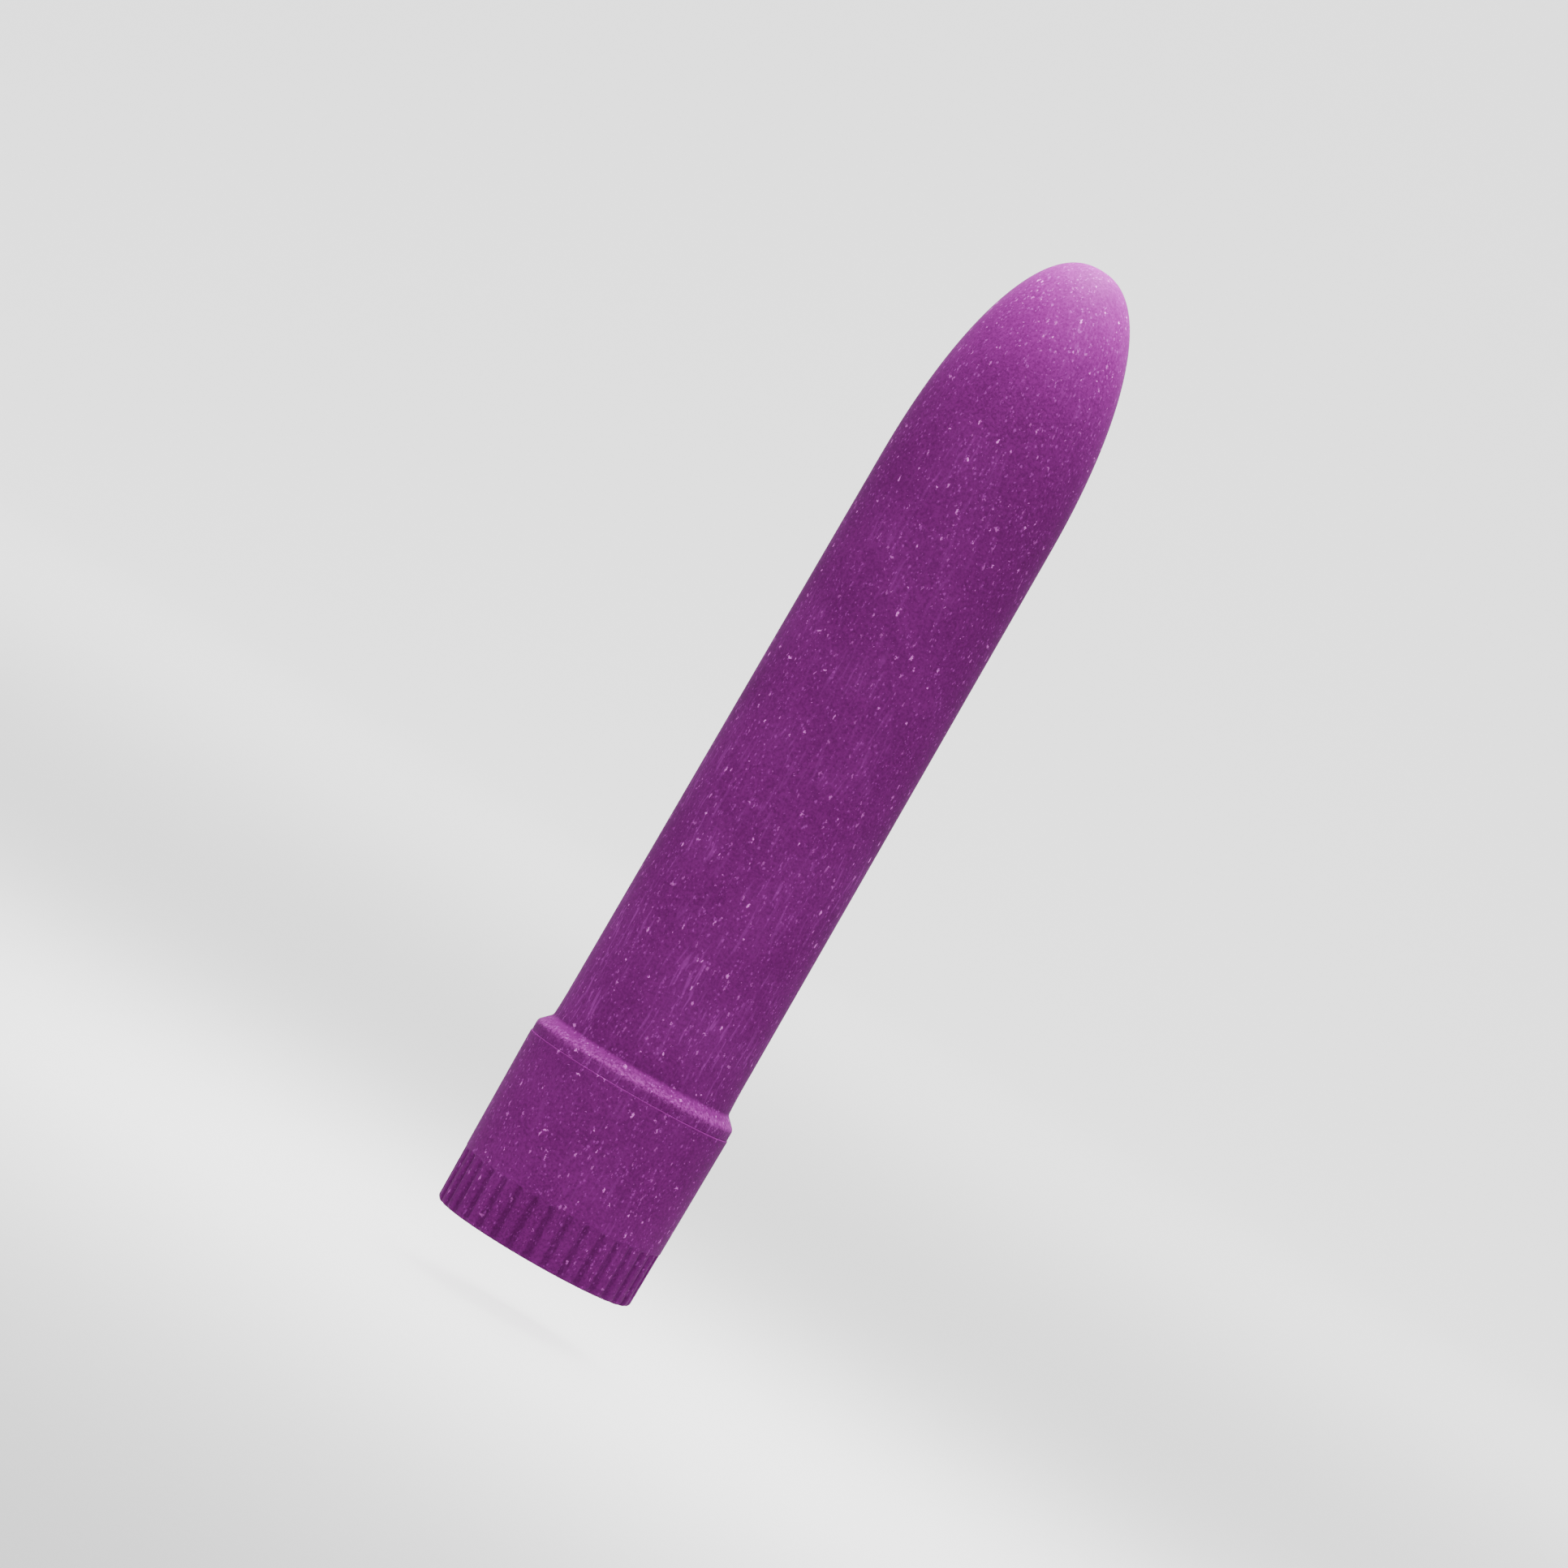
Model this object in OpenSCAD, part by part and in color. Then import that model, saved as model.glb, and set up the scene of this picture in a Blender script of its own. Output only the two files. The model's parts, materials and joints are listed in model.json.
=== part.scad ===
// Battery personal massager: bullet casing, twist cap, two cells and a motor with an eccentric weight.
// Millimetres, +Z up toward the tip, origin at the centre of the flat base.

/* [Overall] */
// Height from the flat base to the tip
overall_l = 178; // [148:1:214]
// Barrel radius just above the shoulder
barrel_r = 15.72; // [14.2:0.02:18.9]
// How much smaller the barrel is in radius where the nose begins
draft = 0.32; // [0.1:0.02:0.6]
// Length of the rounded nose
nose_l = 43; // [38:1:50]
// Exponent of the nose curve along its length
nose_p = 2.15; // [1.9:0.05:2.6]
// Exponent of the nose curve across its width
nose_q = 2.3; // [2:0.05:2.6]
// Wall of the casing where the nose begins
wall_t = 1.8; // [1.4:0.1:2.2]

/* [Shoulder] */
// How far the shoulder bead stands out from the barrel
bead_out = 1.93; // [1.7:0.01:2.3]
// Straight height of the bead above the seam
bead_h = 1.32; // [0.9:0.02:1.8]
// Outer corner radius of the bead
bead_corner = 1.1; // [0.8:0.05:1.3]
// Hollow corner radius where the bead meets the barrel
bead_fillet = 1; // [0.6:0.05:1.3]
// Small flare of the barrel foot
foot_flare = 0.13; // [0.05:0.01:0.2]
// Height over which the flare fades
foot_flare_h = 4.75; // [3:0.25:8]

/* [Twist cap] */
// Height of the cap
cap_h = 30.3; // [29.8:0.1:36.4]
// How far the cap's top edge stands out from the barrel
cap_out = 2.06; // [2:0.01:2.5]
// How much smaller the cap is in radius at the base
cap_draft = 0.37; // [0.2:0.01:0.42]
// Rounded edge of the flat base
edge_r = 0.8; // [0.2:0.05:1.2]
// Thickness of the cap's end
cap_floor = 2; // [1.8:0.1:2.2]
// Open line between cap and casing
seam_gap = 0.15; // [0.1:0.01:0.3]
// Number of grip grooves
groove_n = 35; // [24:1:40]
// Height of the grip band
groove_h = 9.6; // [8:0.1:11.5]
// Depth of a groove
groove_d = 0.35; // [0.2:0.01:0.4]
// Radius of the rounded groove floor
groove_r = 0.55; // [0.45:0.01:0.7]

/* [Screw neck] */
// Wall of the neck
neck_wall = 1; // [0.9:0.05:1.05]
// Height of the neck's open end
neck_z = 15; // [14.6:0.1:15.6]
// Rise of the thread in one turn
pitch = 3; // [2.6:0.1:3.6]
// Height of the thread ridge
ridge_h = 0.6; // [0.5:0.02:0.64]
// Width of the ridge at its root
ridge_root_w = 1.5; // [1.2:0.05:1.6]
// Width of the ridge at its crest
ridge_crest_w = 0.8; // [0.6:0.05:1]
// Turns of the ridge on the neck
ridge_turns = 1.5; // [1:0.25:1.75]
// Height of the ridge's lower end
ridge_z = 18.8; // [18.5:0.1:19.5]
// Space round the ridge in its groove
thread_gap = 0.2; // [0.17:0.01:0.24]

/* [Carrier] */
// Height of the carrier's underside
carrier_z = 5.5; // [5.4:0.05:5.7]
// Height of the carrier's open end
carrier_top = 27.5; // [26.5:0.1:28.5]
// Thickness of the carrier's floor
carrier_floor = 1.5; // [1.3:0.1:1.7]
// Wall left behind the thread groove
carrier_wall = 0.6; // [0.5:0.02:0.62]
// Running space between carrier and cap
dial_fit = 0.08; // [0.04:0.01:0.1]
// How far the snap rib stands out
snap_out = 0.3; // [0.2:0.02:0.34]
// Height of the snap rib
snap_z = 24; // [23:0.1:25]
// Width of the snap rib
snap_w = 1; // [0.8:0.1:1.2]
// Space round the snap rib
snap_gap = 0.2; // [0.12:0.02:0.24]
// Sweep of the carrier's stop lug in degrees
lug_sweep = 34; // [28:1:34]
// Sweep of the cap's stop peg in degrees
peg_sweep = 24; // [18:1:24]

/* [Speed control] */
// Thickness of the resistance ring
track_t = 0.5; // [0.4:0.05:0.55]
// Space between the resistance ring and the dial stops
track_inset = 1; // [0.8:0.1:1.6]
// Width of the resistance ring
track_w = 2.2; // [1.8:0.1:2.4]
// Thickness of the wiper blade
wiper_t = 0.3; // [0.25:0.05:0.4]
// Width of the wiper blade
wiper_w = 4.4; // [4:0.1:5]
// Space left at a sliding electrical contact
touch_gap = 0.03; // [0.02:0.01:0.06]

/* [Cells] */
// Space between a cell and the bore
cell_gap = 0.5; // [0.46:0.02:0.6]
// Height of the rear cell's flat end
cell_z = 20; // [19:0.1:21]
// Radius of the positive nub
nub_r = 3.3; // [2.8:0.1:3.8]
// Height of the positive nub
nub_h = 2; // [1.6:0.1:2.4]
// Thickness of a cell's steel can
can_t = 0.5; // [0.3:0.05:0.6]
// Thickness of the printed sleeve
sleeve_t = 0.2; // [0.15:0.01:0.25]

/* [Contacts] */
// Wire radius of the contact spring
spring_wire_r = 0.5; // [0.4:0.02:0.55]
// Coil radius at the wide end of the spring
spring_r = 8; // [7:0.1:8.4]
// Coil radius at the narrow end of the spring
spring_top_r = 3.4; // [3.2:0.1:4]
// Turns of the contact spring
spring_turns = 4.5; // [3.5:0.5:5]
// Thickness of the side strip
strip_t = 0.22; // [0.18:0.01:0.25]
// Sweep of the side strip in degrees
strip_sweep = 14; // [10:1:18]

/* [Motor] */
// Radius of the motor can
motor_r = 10.1; // [9.6:0.1:12.2]
// Wall of the motor can
motor_t = 0.7; // [0.6:0.05:0.8]
// Length of the motor can
motor_l = 22.5; // [21.5:0.25:23]
// Radius of the motor shaft
shaft_r = 1; // [0.9:0.02:1.1]
// Running space round the shaft
shaft_fit = 0.03; // [0.02:0.01:0.08]
// Radius of the armature
armature_r = 7; // [6.6:0.1:7.2]
// Length of the armature
armature_l = 11; // [9:0.5:12]
// Radius of the eccentric weight
weight_r = 7; // [6:0.1:7.4]
// Length of the eccentric weight
weight_l = 8; // [6:0.5:8.5]

/* [Hidden] */

// Smoothness of round faces
$fn = 96;
// Overcut that keeps subtracted shapes clear of shared faces
eps = 0.1;
// Steps of the curved profiles
nose_steps = 24;
corner_steps = 5;
// Straight pieces in a turn of the thread and of the spring
thread_steps = 30;
spring_steps = 20;
spring_sides = 8;
// Facets round small pins, rivets and grooves
small_fn = 32;
groove_fn = 24;

// Main heights
seam_z = cap_h + seam_gap;
nose_z = overall_l - nose_l;
barrel_top_r = barrel_r - draft;
bore_r = barrel_top_r - wall_t;
nose_in_l = nose_l - wall_t;

// Shoulder bead, built from a rounded corner, a 45 degree flank and a hollow corner
bead_r = barrel_r + bead_out;
foot_r = barrel_r + foot_flare;
c45 = cos(45);
bead_z1 = seam_z + bead_h;
flank_run = (bead_r - bead_corner * (1 - c45)) - (foot_r + bead_fillet * (1 - c45));
bead_z3 = bead_z1 + c45 * (bead_corner + bead_fillet) + flank_run;

// Radii from the bore outward through neck, thread, carrier and cap
neck_r = bore_r + neck_wall;
crest_r = neck_r + ridge_h;
carrier_in_r = neck_r + thread_gap;
thread_root_r = crest_r + thread_gap;
carrier_r = thread_root_r + carrier_wall;
cap_bore_r = carrier_r + dial_fit;
cap_top_r = barrel_r + cap_out;
cap_base_r = cap_top_r - cap_draft;
cap_ledge_gap = 0.15;
cap_ledge_z = carrier_z - cap_ledge_gap;
cap_ledge_in = 0.8;
cap_well_r = cap_bore_r - cap_ledge_in;

// Thread lengths
groove_lead = 40;
ridge_embed = 0.4;
groove_embed = 0.5;
groove_grow = 2 * thread_gap;

// Dial stops, meeting at the two ends of a 300 degree turn
stop_gap = 1;
stop_out_r = cap_well_r - thread_gap * 2;
stop_w = 1.8;
stop_in_r = stop_out_r - stop_w;
lug_bottom = cap_floor + thread_gap * 2;
peg_top = carrier_z - thread_gap * 2;

// Speed control heights
track_z = carrier_z - track_t;
track_r = stop_in_r - track_inset - track_w / 2;
rivet_tail_t = 0.6;
rivet_head_t = 0.6;
rivet_shank_r = 1.2;
rivet_head_r = 2.2;
plate_t = 0.4;
carrier_floor_z = carrier_z + carrier_floor;
pedestal_h = 1.2;
wiper_z = cap_floor + pedestal_h;
wiper_top = wiper_z + wiper_t;
pedestal_l = 12;
stake_x = 4.5;
stake_r = 0.8;
stake_head_r = 1.4;
stake_head_t = 0.5;
stake_depth = 0.9;
tip_r = 0.9;

// Cells share the length between the contact spring and the front contact
bulkhead_back = 13.5;
bulkhead_z = nose_z - bulkhead_back;
bulkhead_t = 2;
contact_t = 0.4;
contact_rise = 1.1;
contact_dome_r = 2.6;
contact_plate_r = 6;
cell_end_z = bulkhead_z - contact_t - contact_rise;
cell_l = (cell_end_z - cell_z) / 2;
cell_r = bore_r - cell_gap;
cell_can_r = cell_r - sleeve_t;
sleeve_lip = 0.4;
seal_t = 0.5;

// Contacts
ring_step_in = 0.1;
ring_step_out = 0.3;
ring_in_r = bore_r + ring_step_in;
ring_out_r = neck_r - ring_step_out;
foot_t = 0.3;
strip_clear = 0.2;
strip_over = 1;
strip_in_r = cell_r + strip_clear;
strip_out_r = strip_in_r + strip_t;
strip_angle = 180;
plate_clear = 0.4;
plate_rim_t = 0.4;
plate_rim_r = spring_r + spring_wire_r + plate_clear;
plate_rim_h = 1;

// Motor heights
motor_back = 6;
motor_z = nose_z - motor_back;
end_t = 2.5;
can_z = motor_z + end_t;
can_top = can_z + motor_l;
boss_r = 3;
boss_t = 2.5;
bush_r = 1.8;
mount_l = 7;
fixed_fit = 0.05;
slot_margin = 1;
magnet_gap = 0.5;
magnet_in_r = armature_r + magnet_gap;
magnet_out_r = motor_r - motor_t - fixed_fit;
magnet_sweep = 118;
magnet_over = 1;
magnet_end_gap = 1;
armature_rise = 5.5;
armature_z = can_z + armature_rise;
shaft_tail = 1.5;
shaft_end = 0.5;
shaft_z = motor_z - shaft_tail;
weight_gap = 1.5;
weight_z = can_top + boss_t + weight_gap;
weight_flat = 1.8;
commutator_r = 2.4;
commutator_rise = 0.3;
commutator_z = can_z + commutator_rise;
commutator_l = 3;
commutator_slot = 0.4;
brush_gap = 0.05;
brush_t = 0.4;
brush_h = 2.6;
brush_side = 1;
terminal_x = 6.5;
terminal_w = 2;
terminal_t = 0.5;
terminal_drop = 5;
terminal_z = motor_z - terminal_drop;
web_w = 3;
shoe_t = 1.4;
shoe_sweep = 96;
hub_r = 2.4;
coil_gap = 0.1;
coil_over = 1.2;
lead_r = 0.45;
lead_z = bulkhead_z + bulkhead_t + rivet_head_t + touch_gap;
lead_reach = terminal_w / 2 + lead_r + fixed_fit;

// A ring between two radii and two heights
module ring(outer, inner, z0, z1) {
    translate([0, 0, z0])
        difference() {
            cylinder(r = outer, h = z1 - z0);
            translate([0, 0, -eps])
                cylinder(r = inner, h = z1 - z0 + 2 * eps);
        }
}

// A round disc between two heights
module disc(outer, z0, z1) {
    translate([0, 0, z0])
        cylinder(r = outer, h = z1 - z0);
}

// A wedge of less than 120 degrees about the axis
module wedge(reach, a0, a1, z0, z1) {
    translate([0, 0, z0])
        linear_extrude(height = z1 - z0)
            polygon([
                [0, 0],
                [2 * reach * cos(a0), 2 * reach * sin(a0)],
                [2 * reach * cos(a1), 2 * reach * sin(a1)]
            ]);
}

// A helical bar with a four-sided section, from one angle to another
module helix_bar(r_in, r_out, w_in, w_out, z_at_zero, a0, a1) {
    n = ceil(thread_steps * (a1 - a0) / 360);
    step = (a1 - a0) / n;
    pts = [
        for (i = [0 : n])
            let (a = a0 + step * i, z = z_at_zero + pitch * a / 360)
                for (k = [[r_in, -w_in], [r_out, -w_out], [r_out, w_out], [r_in, w_in]])
                    [k[0] * cos(a), k[0] * sin(a), z + k[1] / 2]
    ];
    sides = [
        for (i = [0 : n - 1])
            for (k = [0 : 3])
                let (p = 4 * i + k, q = 4 * i + (k + 1) % 4)
                    for (f = [[p, q, q + 4], [p, q + 4, p + 4]])
                        f
    ];
    ends = [[0, 3, 2], [0, 2, 1], [4 * n, 4 * n + 1, 4 * n + 2], [4 * n, 4 * n + 2, 4 * n + 3]];
    polyhedron(points = pts, faces = concat(sides, ends));
}

// Outline of the rounded nose for a given wall
function nose_pts(r, l) = [
    for (i = [1 : nose_steps])
        let (u = sin(90 * i / nose_steps))
            [i == nose_steps ? 0 : r * pow(1 - pow(u, nose_p), 1 / nose_q), nose_z + l * u]
];

// Rounded and hollow corners of the shoulder bead
function bead_pts() = concat(
    [for (i = [0 : corner_steps])
        let (a = 45 * i / corner_steps)
            [bead_r - bead_corner * (1 - cos(a)), bead_z1 + bead_corner * sin(a)]],
    [for (i = [0 : corner_steps])
        let (a = 45 - 45 * i / corner_steps)
            [foot_r + bead_fillet * (1 - cos(a)), bead_z3 - bead_fillet * sin(a)]]
);

module casing() {
    outer = concat(
        [[bore_r, neck_z], [neck_r, neck_z], [neck_r, seam_z], [bead_r, seam_z]],
        bead_pts(),
        [[barrel_r, bead_z3 + foot_flare_h], [barrel_top_r, nose_z]],
        nose_pts(barrel_top_r, nose_l)
    );
    inner = nose_pts(bore_r, nose_in_l);
    inner_down = [for (i = [len(inner) - 1 : -1 : 0]) inner[i]];
    color([0.47, 0.19, 0.49])
        union() {
            rotate_extrude()
                polygon(concat(outer, inner_down, [[bore_r, nose_z]]));
            helix_bar(neck_r - ridge_embed, crest_r, ridge_root_w, ridge_crest_w,
                ridge_z, 0, 360 * ridge_turns);
        }
}

module cap_outline() {
    edge = [
        for (i = [0 : corner_steps])
            let (a = 90 * i / corner_steps)
                [cap_base_r - edge_r * (1 - sin(a)), edge_r * (1 - cos(a))]
    ];
    polygon(concat(
        [[0, 0]],
        edge,
        [
            [cap_top_r, cap_h],
            [cap_bore_r, cap_h],
            [cap_bore_r, snap_z + snap_w + snap_gap],
            [cap_bore_r + snap_out, snap_z + snap_w + snap_gap],
            [cap_bore_r + snap_out, snap_z - snap_gap],
            [cap_bore_r, snap_z - snap_gap],
            [cap_bore_r, cap_ledge_z],
            [cap_well_r, cap_ledge_z],
            [cap_well_r, cap_floor],
            [0, cap_floor]
        ]
    ));
}

module twist_cap() {
    color([0.44, 0.17, 0.46])
        difference() {
            union() {
                rotate_extrude()
                    cap_outline();
                translate([-pedestal_l / 2, -wiper_w / 2, cap_floor - eps])
                    cube([pedestal_l, wiper_w, wiper_z - cap_floor + eps]);
                intersection() {
                    ring(stop_out_r, stop_in_r, cap_floor - eps, peg_top);
                    wedge(stop_out_r, -peg_sweep - stop_gap, -stop_gap, cap_floor - eps, peg_top);
                }
            }
            for (i = [0 : groove_n - 1])
                rotate([0, 0, 360 * i / groove_n])
                    translate([cap_base_r - groove_d + groove_r, 0, -eps])
                        cylinder(r = groove_r, h = groove_h + eps, $fn = groove_fn);
            for (s = [-1, 1])
                translate([s * stake_x, 0, wiper_z - stake_depth])
                    cylinder(r = stake_r, h = stake_depth + eps, $fn = small_fn);
        }
}

module carrier() {
    color([0.9, 0.9, 0.86])
        difference() {
            union() {
                rotate_extrude()
                    polygon([
                        [0, carrier_z],
                        [carrier_r, carrier_z],
                        [carrier_r, snap_z],
                        [carrier_r + snap_out - snap_gap / 2, snap_z],
                        [carrier_r + snap_out - snap_gap / 2, snap_z + snap_w],
                        [carrier_r, snap_z + snap_w],
                        [carrier_r, carrier_top],
                        [carrier_in_r, carrier_top],
                        [carrier_in_r, carrier_floor_z],
                        [0, carrier_floor_z]
                    ]);
                intersection() {
                    ring(stop_out_r, stop_in_r, lug_bottom, carrier_z + eps);
                    wedge(stop_out_r, 0, lug_sweep, lug_bottom, carrier_z + eps);
                }
            }
            helix_bar(carrier_in_r - groove_embed, thread_root_r,
                ridge_root_w + groove_grow, ridge_crest_w + groove_grow,
                ridge_z, -groove_lead, 360 * (carrier_top - ridge_z) / pitch + 360);
            translate([0, 0, carrier_z - eps])
                cylinder(r = rivet_shank_r, h = carrier_floor + 2 * eps, $fn = small_fn);
        }
}

module resistance_ring() {
    color([0.16, 0.14, 0.13])
        ring(track_r + track_w / 2, track_r - track_w / 2, track_z, carrier_z);
}

module contact_ring() {
    color([0.8, 0.62, 0.3])
        ring(ring_out_r, ring_in_r, carrier_floor_z, neck_z - foot_t - touch_gap);
}

module spring_plate() {
    rim_top = carrier_floor_z + plate_t + plate_rim_h;
    color([0.8, 0.62, 0.3])
        rotate_extrude()
            polygon([
                [rivet_shank_r, carrier_floor_z],
                [plate_rim_r + plate_rim_t, carrier_floor_z],
                [plate_rim_r + plate_rim_t, rim_top],
                [plate_rim_r, rim_top],
                [plate_rim_r, carrier_floor_z + plate_t],
                [rivet_shank_r, carrier_floor_z + plate_t]
            ]);
}

module carrier_rivet() {
    shank_top = carrier_floor_z + plate_t;
    color([0.75, 0.6, 0.32])
        rotate_extrude()
            polygon([
                [0, carrier_z - rivet_tail_t],
                [rivet_head_r, carrier_z - rivet_tail_t],
                [rivet_head_r, carrier_z],
                [rivet_shank_r, carrier_z],
                [rivet_shank_r, shank_top],
                [rivet_head_r, shank_top],
                [rivet_head_r - rivet_head_t / 2, shank_top + rivet_head_t],
                [0, shank_top + rivet_head_t]
            ]);
}

module wiper() {
    color([0.78, 0.6, 0.3])
        difference() {
            union() {
                translate([-pedestal_l / 2, -wiper_w / 2, wiper_z])
                    cube([track_r + tip_r + pedestal_l / 2, wiper_w, wiper_t]);
                disc(tip_r, wiper_z, carrier_z - rivet_tail_t - touch_gap);
                translate([track_r, 0, 0])
                    disc(tip_r, wiper_z, track_z - touch_gap);
            }
            for (s = [-1, 1])
                translate([s * stake_x, 0, wiper_z - eps])
                    cylinder(r = stake_r, h = wiper_t + 2 * eps, $fn = small_fn);
        }
}

module wiper_rivets() {
    color([0.7, 0.55, 0.28])
        for (s = [-1, 1])
            translate([s * stake_x, 0, 0]) {
                translate([0, 0, wiper_z - stake_depth])
                    cylinder(r = stake_r, h = stake_depth + wiper_t + eps, $fn = small_fn);
                translate([0, 0, wiper_top])
                    cylinder(r = stake_head_r, h = stake_head_t, $fn = small_fn);
            }
}

module contact_spring() {
    z0 = carrier_floor_z + plate_t + spring_wire_r + touch_gap;
    z1 = cell_z - spring_wire_r - touch_gap;
    n = spring_steps * spring_turns;
    m = spring_sides;
    pts = [
        for (i = [0 : n])
            let (t = i / n, a = 360 * spring_turns * t, c = spring_r + (spring_top_r - spring_r) * t)
                for (j = [0 : m - 1])
                    let (b = 360 * j / m, r = c + spring_wire_r * cos(b))
                        [r * cos(a), r * sin(a), z0 + (z1 - z0) * t + spring_wire_r * sin(b)]
    ];
    sides = [
        for (i = [0 : n - 1])
            for (j = [0 : m - 1])
                let (p = m * i + j, q = m * i + (j + 1) % m)
                    for (f = [[p, p + m, q + m], [p, q + m, q]])
                        f
    ];
    first = [for (j = [1 : m - 2]) [0, j, j + 1]];
    last = [for (j = [1 : m - 2]) [m * n, m * n + j + 1, m * n + j]];
    color([0.75, 0.76, 0.78])
        polyhedron(points = pts, faces = concat(sides, first, last));
}

module side_strip() {
    half = strip_sweep / 2;
    color([0.8, 0.62, 0.3])
        union() {
            intersection() {
                ring(strip_out_r, strip_in_r, neck_z - foot_t, lead_z + strip_over);
                wedge(strip_out_r, strip_angle - half, strip_angle + half, 0, overall_l);
            }
            intersection() {
                ring(ring_out_r, strip_in_r, neck_z - foot_t, neck_z);
                wedge(ring_out_r, strip_angle - half, strip_angle + half, 0, overall_l);
            }
        }
}

// One cell, drawn in pieces so that both cells share the same sizes
module cell_can(z) {
    color([0.72, 0.73, 0.75])
        difference() {
            disc(cell_can_r, z, z + cell_l - nub_h);
            disc(cell_can_r - can_t, z + can_t, z + cell_l - nub_h + eps);
        }
}

module cell_core(z) {
    color([0.2, 0.2, 0.2])
        disc(cell_can_r - can_t, z + can_t, z + cell_l - nub_h - seal_t);
}

module cell_sleeve(z) {
    color([0.25, 0.3, 0.36])
        ring(cell_r, cell_can_r, z + sleeve_lip, z + cell_l - nub_h);
}

module cell_seal(z) {
    top = z + cell_l - nub_h;
    color([0.12, 0.12, 0.13])
        ring(cell_can_r - can_t, nub_r, top - seal_t, top);
}

module cell_nub(z) {
    foot = z + cell_l - nub_h - seal_t;
    color([0.82, 0.83, 0.85])
        disc(nub_r, foot, z + cell_l - touch_gap);
}

module cell_rear_can() {
    cell_can(cell_z);
}

module cell_rear_core() {
    cell_core(cell_z);
}

module cell_rear_sleeve() {
    cell_sleeve(cell_z);
}

module cell_rear_nub() {
    cell_nub(cell_z);
}

module cell_rear_seal() {
    cell_seal(cell_z);
}

module cell_front_can() {
    cell_can(cell_z + cell_l);
}

module cell_front_core() {
    cell_core(cell_z + cell_l);
}

module cell_front_sleeve() {
    cell_sleeve(cell_z + cell_l);
}

module cell_front_nub() {
    cell_nub(cell_z + cell_l);
}

module cell_front_seal() {
    cell_seal(cell_z + cell_l);
}

module bulkhead() {
    notch = strip_sweep / 2 + slot_margin;
    color([0.85, 0.84, 0.78])
        difference() {
            ring(bore_r - fixed_fit, rivet_shank_r, bulkhead_z, bulkhead_z + bulkhead_t);
            intersection() {
                ring(bore_r + slot_margin, strip_in_r - slot_margin,
                    bulkhead_z - eps, bulkhead_z + bulkhead_t + eps);
                wedge(bore_r, strip_angle - notch, strip_angle + notch, 0, overall_l);
            }
        }
}

module front_contact() {
    plate_z = bulkhead_z - contact_t;
    color([0.8, 0.62, 0.3])
        union() {
            disc(contact_plate_r, plate_z, bulkhead_z);
            disc(contact_dome_r, cell_end_z, plate_z + eps);
        }
}

module front_rivet() {
    color([0.75, 0.6, 0.32])
        union() {
            disc(rivet_shank_r, bulkhead_z, bulkhead_z + bulkhead_t + eps);
            disc(rivet_head_r, bulkhead_z + bulkhead_t, bulkhead_z + bulkhead_t + rivet_head_t);
        }
}

module motor_mount() {
    foot = bulkhead_z + bulkhead_t;
    half = strip_sweep / 2 + slot_margin;
    color([0.88, 0.87, 0.82])
        difference() {
            ring(bore_r - fixed_fit, motor_r + fixed_fit, foot, can_z + mount_l);
            wedge(bore_r, strip_angle - half, strip_angle + half, foot - eps, motor_z);
        }
}

module motor_can() {
    color([0.7, 0.71, 0.73])
        difference() {
            union() {
                disc(motor_r, can_z, can_top);
                disc(boss_r, can_top - eps, can_top + boss_t);
            }
            disc(motor_r - motor_t, can_z - eps, can_top - motor_t);
            disc(bush_r, can_top - motor_t - eps, can_top + boss_t + eps);
        }
}

module motor_end() {
    color([0.9, 0.9, 0.88])
        difference() {
            disc(motor_r, motor_z, can_z);
            disc(bush_r, motor_z - eps, can_z + eps);
            for (s = [-1, 1])
                translate([s * terminal_x - terminal_w / 2, -terminal_t / 2, motor_z - eps])
                    cube([terminal_w, terminal_t, end_t + 2 * eps]);
        }
}

module motor_magnets() {
    half = magnet_sweep / 2;
    top = can_top - motor_t - magnet_end_gap;
    color([0.25, 0.25, 0.27])
        for (a = [0, 180])
            intersection() {
                ring(magnet_out_r, magnet_in_r, armature_z - magnet_over, top);
                wedge(magnet_out_r, a - half, a + half, 0, overall_l);
            }
}

module motor_bushes() {
    color([0.72, 0.5, 0.28])
        union() {
            ring(bush_r, shaft_r + shaft_fit, motor_z, can_z);
            ring(bush_r, shaft_r + shaft_fit, can_top - motor_t, can_top + boss_t);
        }
}

module motor_brushes() {
    inner = commutator_r + brush_gap;
    color([0.8, 0.5, 0.3])
        for (a = [0, 180])
            rotate([0, 0, a])
                translate([-brush_side, inner, can_z])
                    cube([terminal_x, brush_t, brush_h]);
}

module motor_terminals() {
    color([0.8, 0.62, 0.3])
        for (s = [-1, 1])
            translate([s * terminal_x - terminal_w / 2, -terminal_t / 2, terminal_z])
                cube([terminal_w, terminal_t, can_z - terminal_z]);
}

// An insulated lead bent in a half circle between two ends at one height
module arch_lead(x0, x1) {
    mid = (x0 + x1) / 2;
    bend = abs(x1 - x0) / 2;
    translate([mid, 0, lead_z])
        rotate([90, 0, 0])
            rotate_extrude(angle = 180)
                translate([bend, 0])
                    circle(r = lead_r, $fn = groove_fn);
}

module positive_lead() {
    color([0.7, 0.1, 0.1])
        arch_lead(0, terminal_x - lead_reach);
}

module negative_lead() {
    color([0.08, 0.08, 0.09])
        arch_lead(-strip_in_r + lead_r + fixed_fit, -terminal_x - lead_reach);
}

module motor_shaft() {
    color([0.78, 0.79, 0.8])
        disc(shaft_r, shaft_z, weight_z + weight_l + shaft_end);
}

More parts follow.
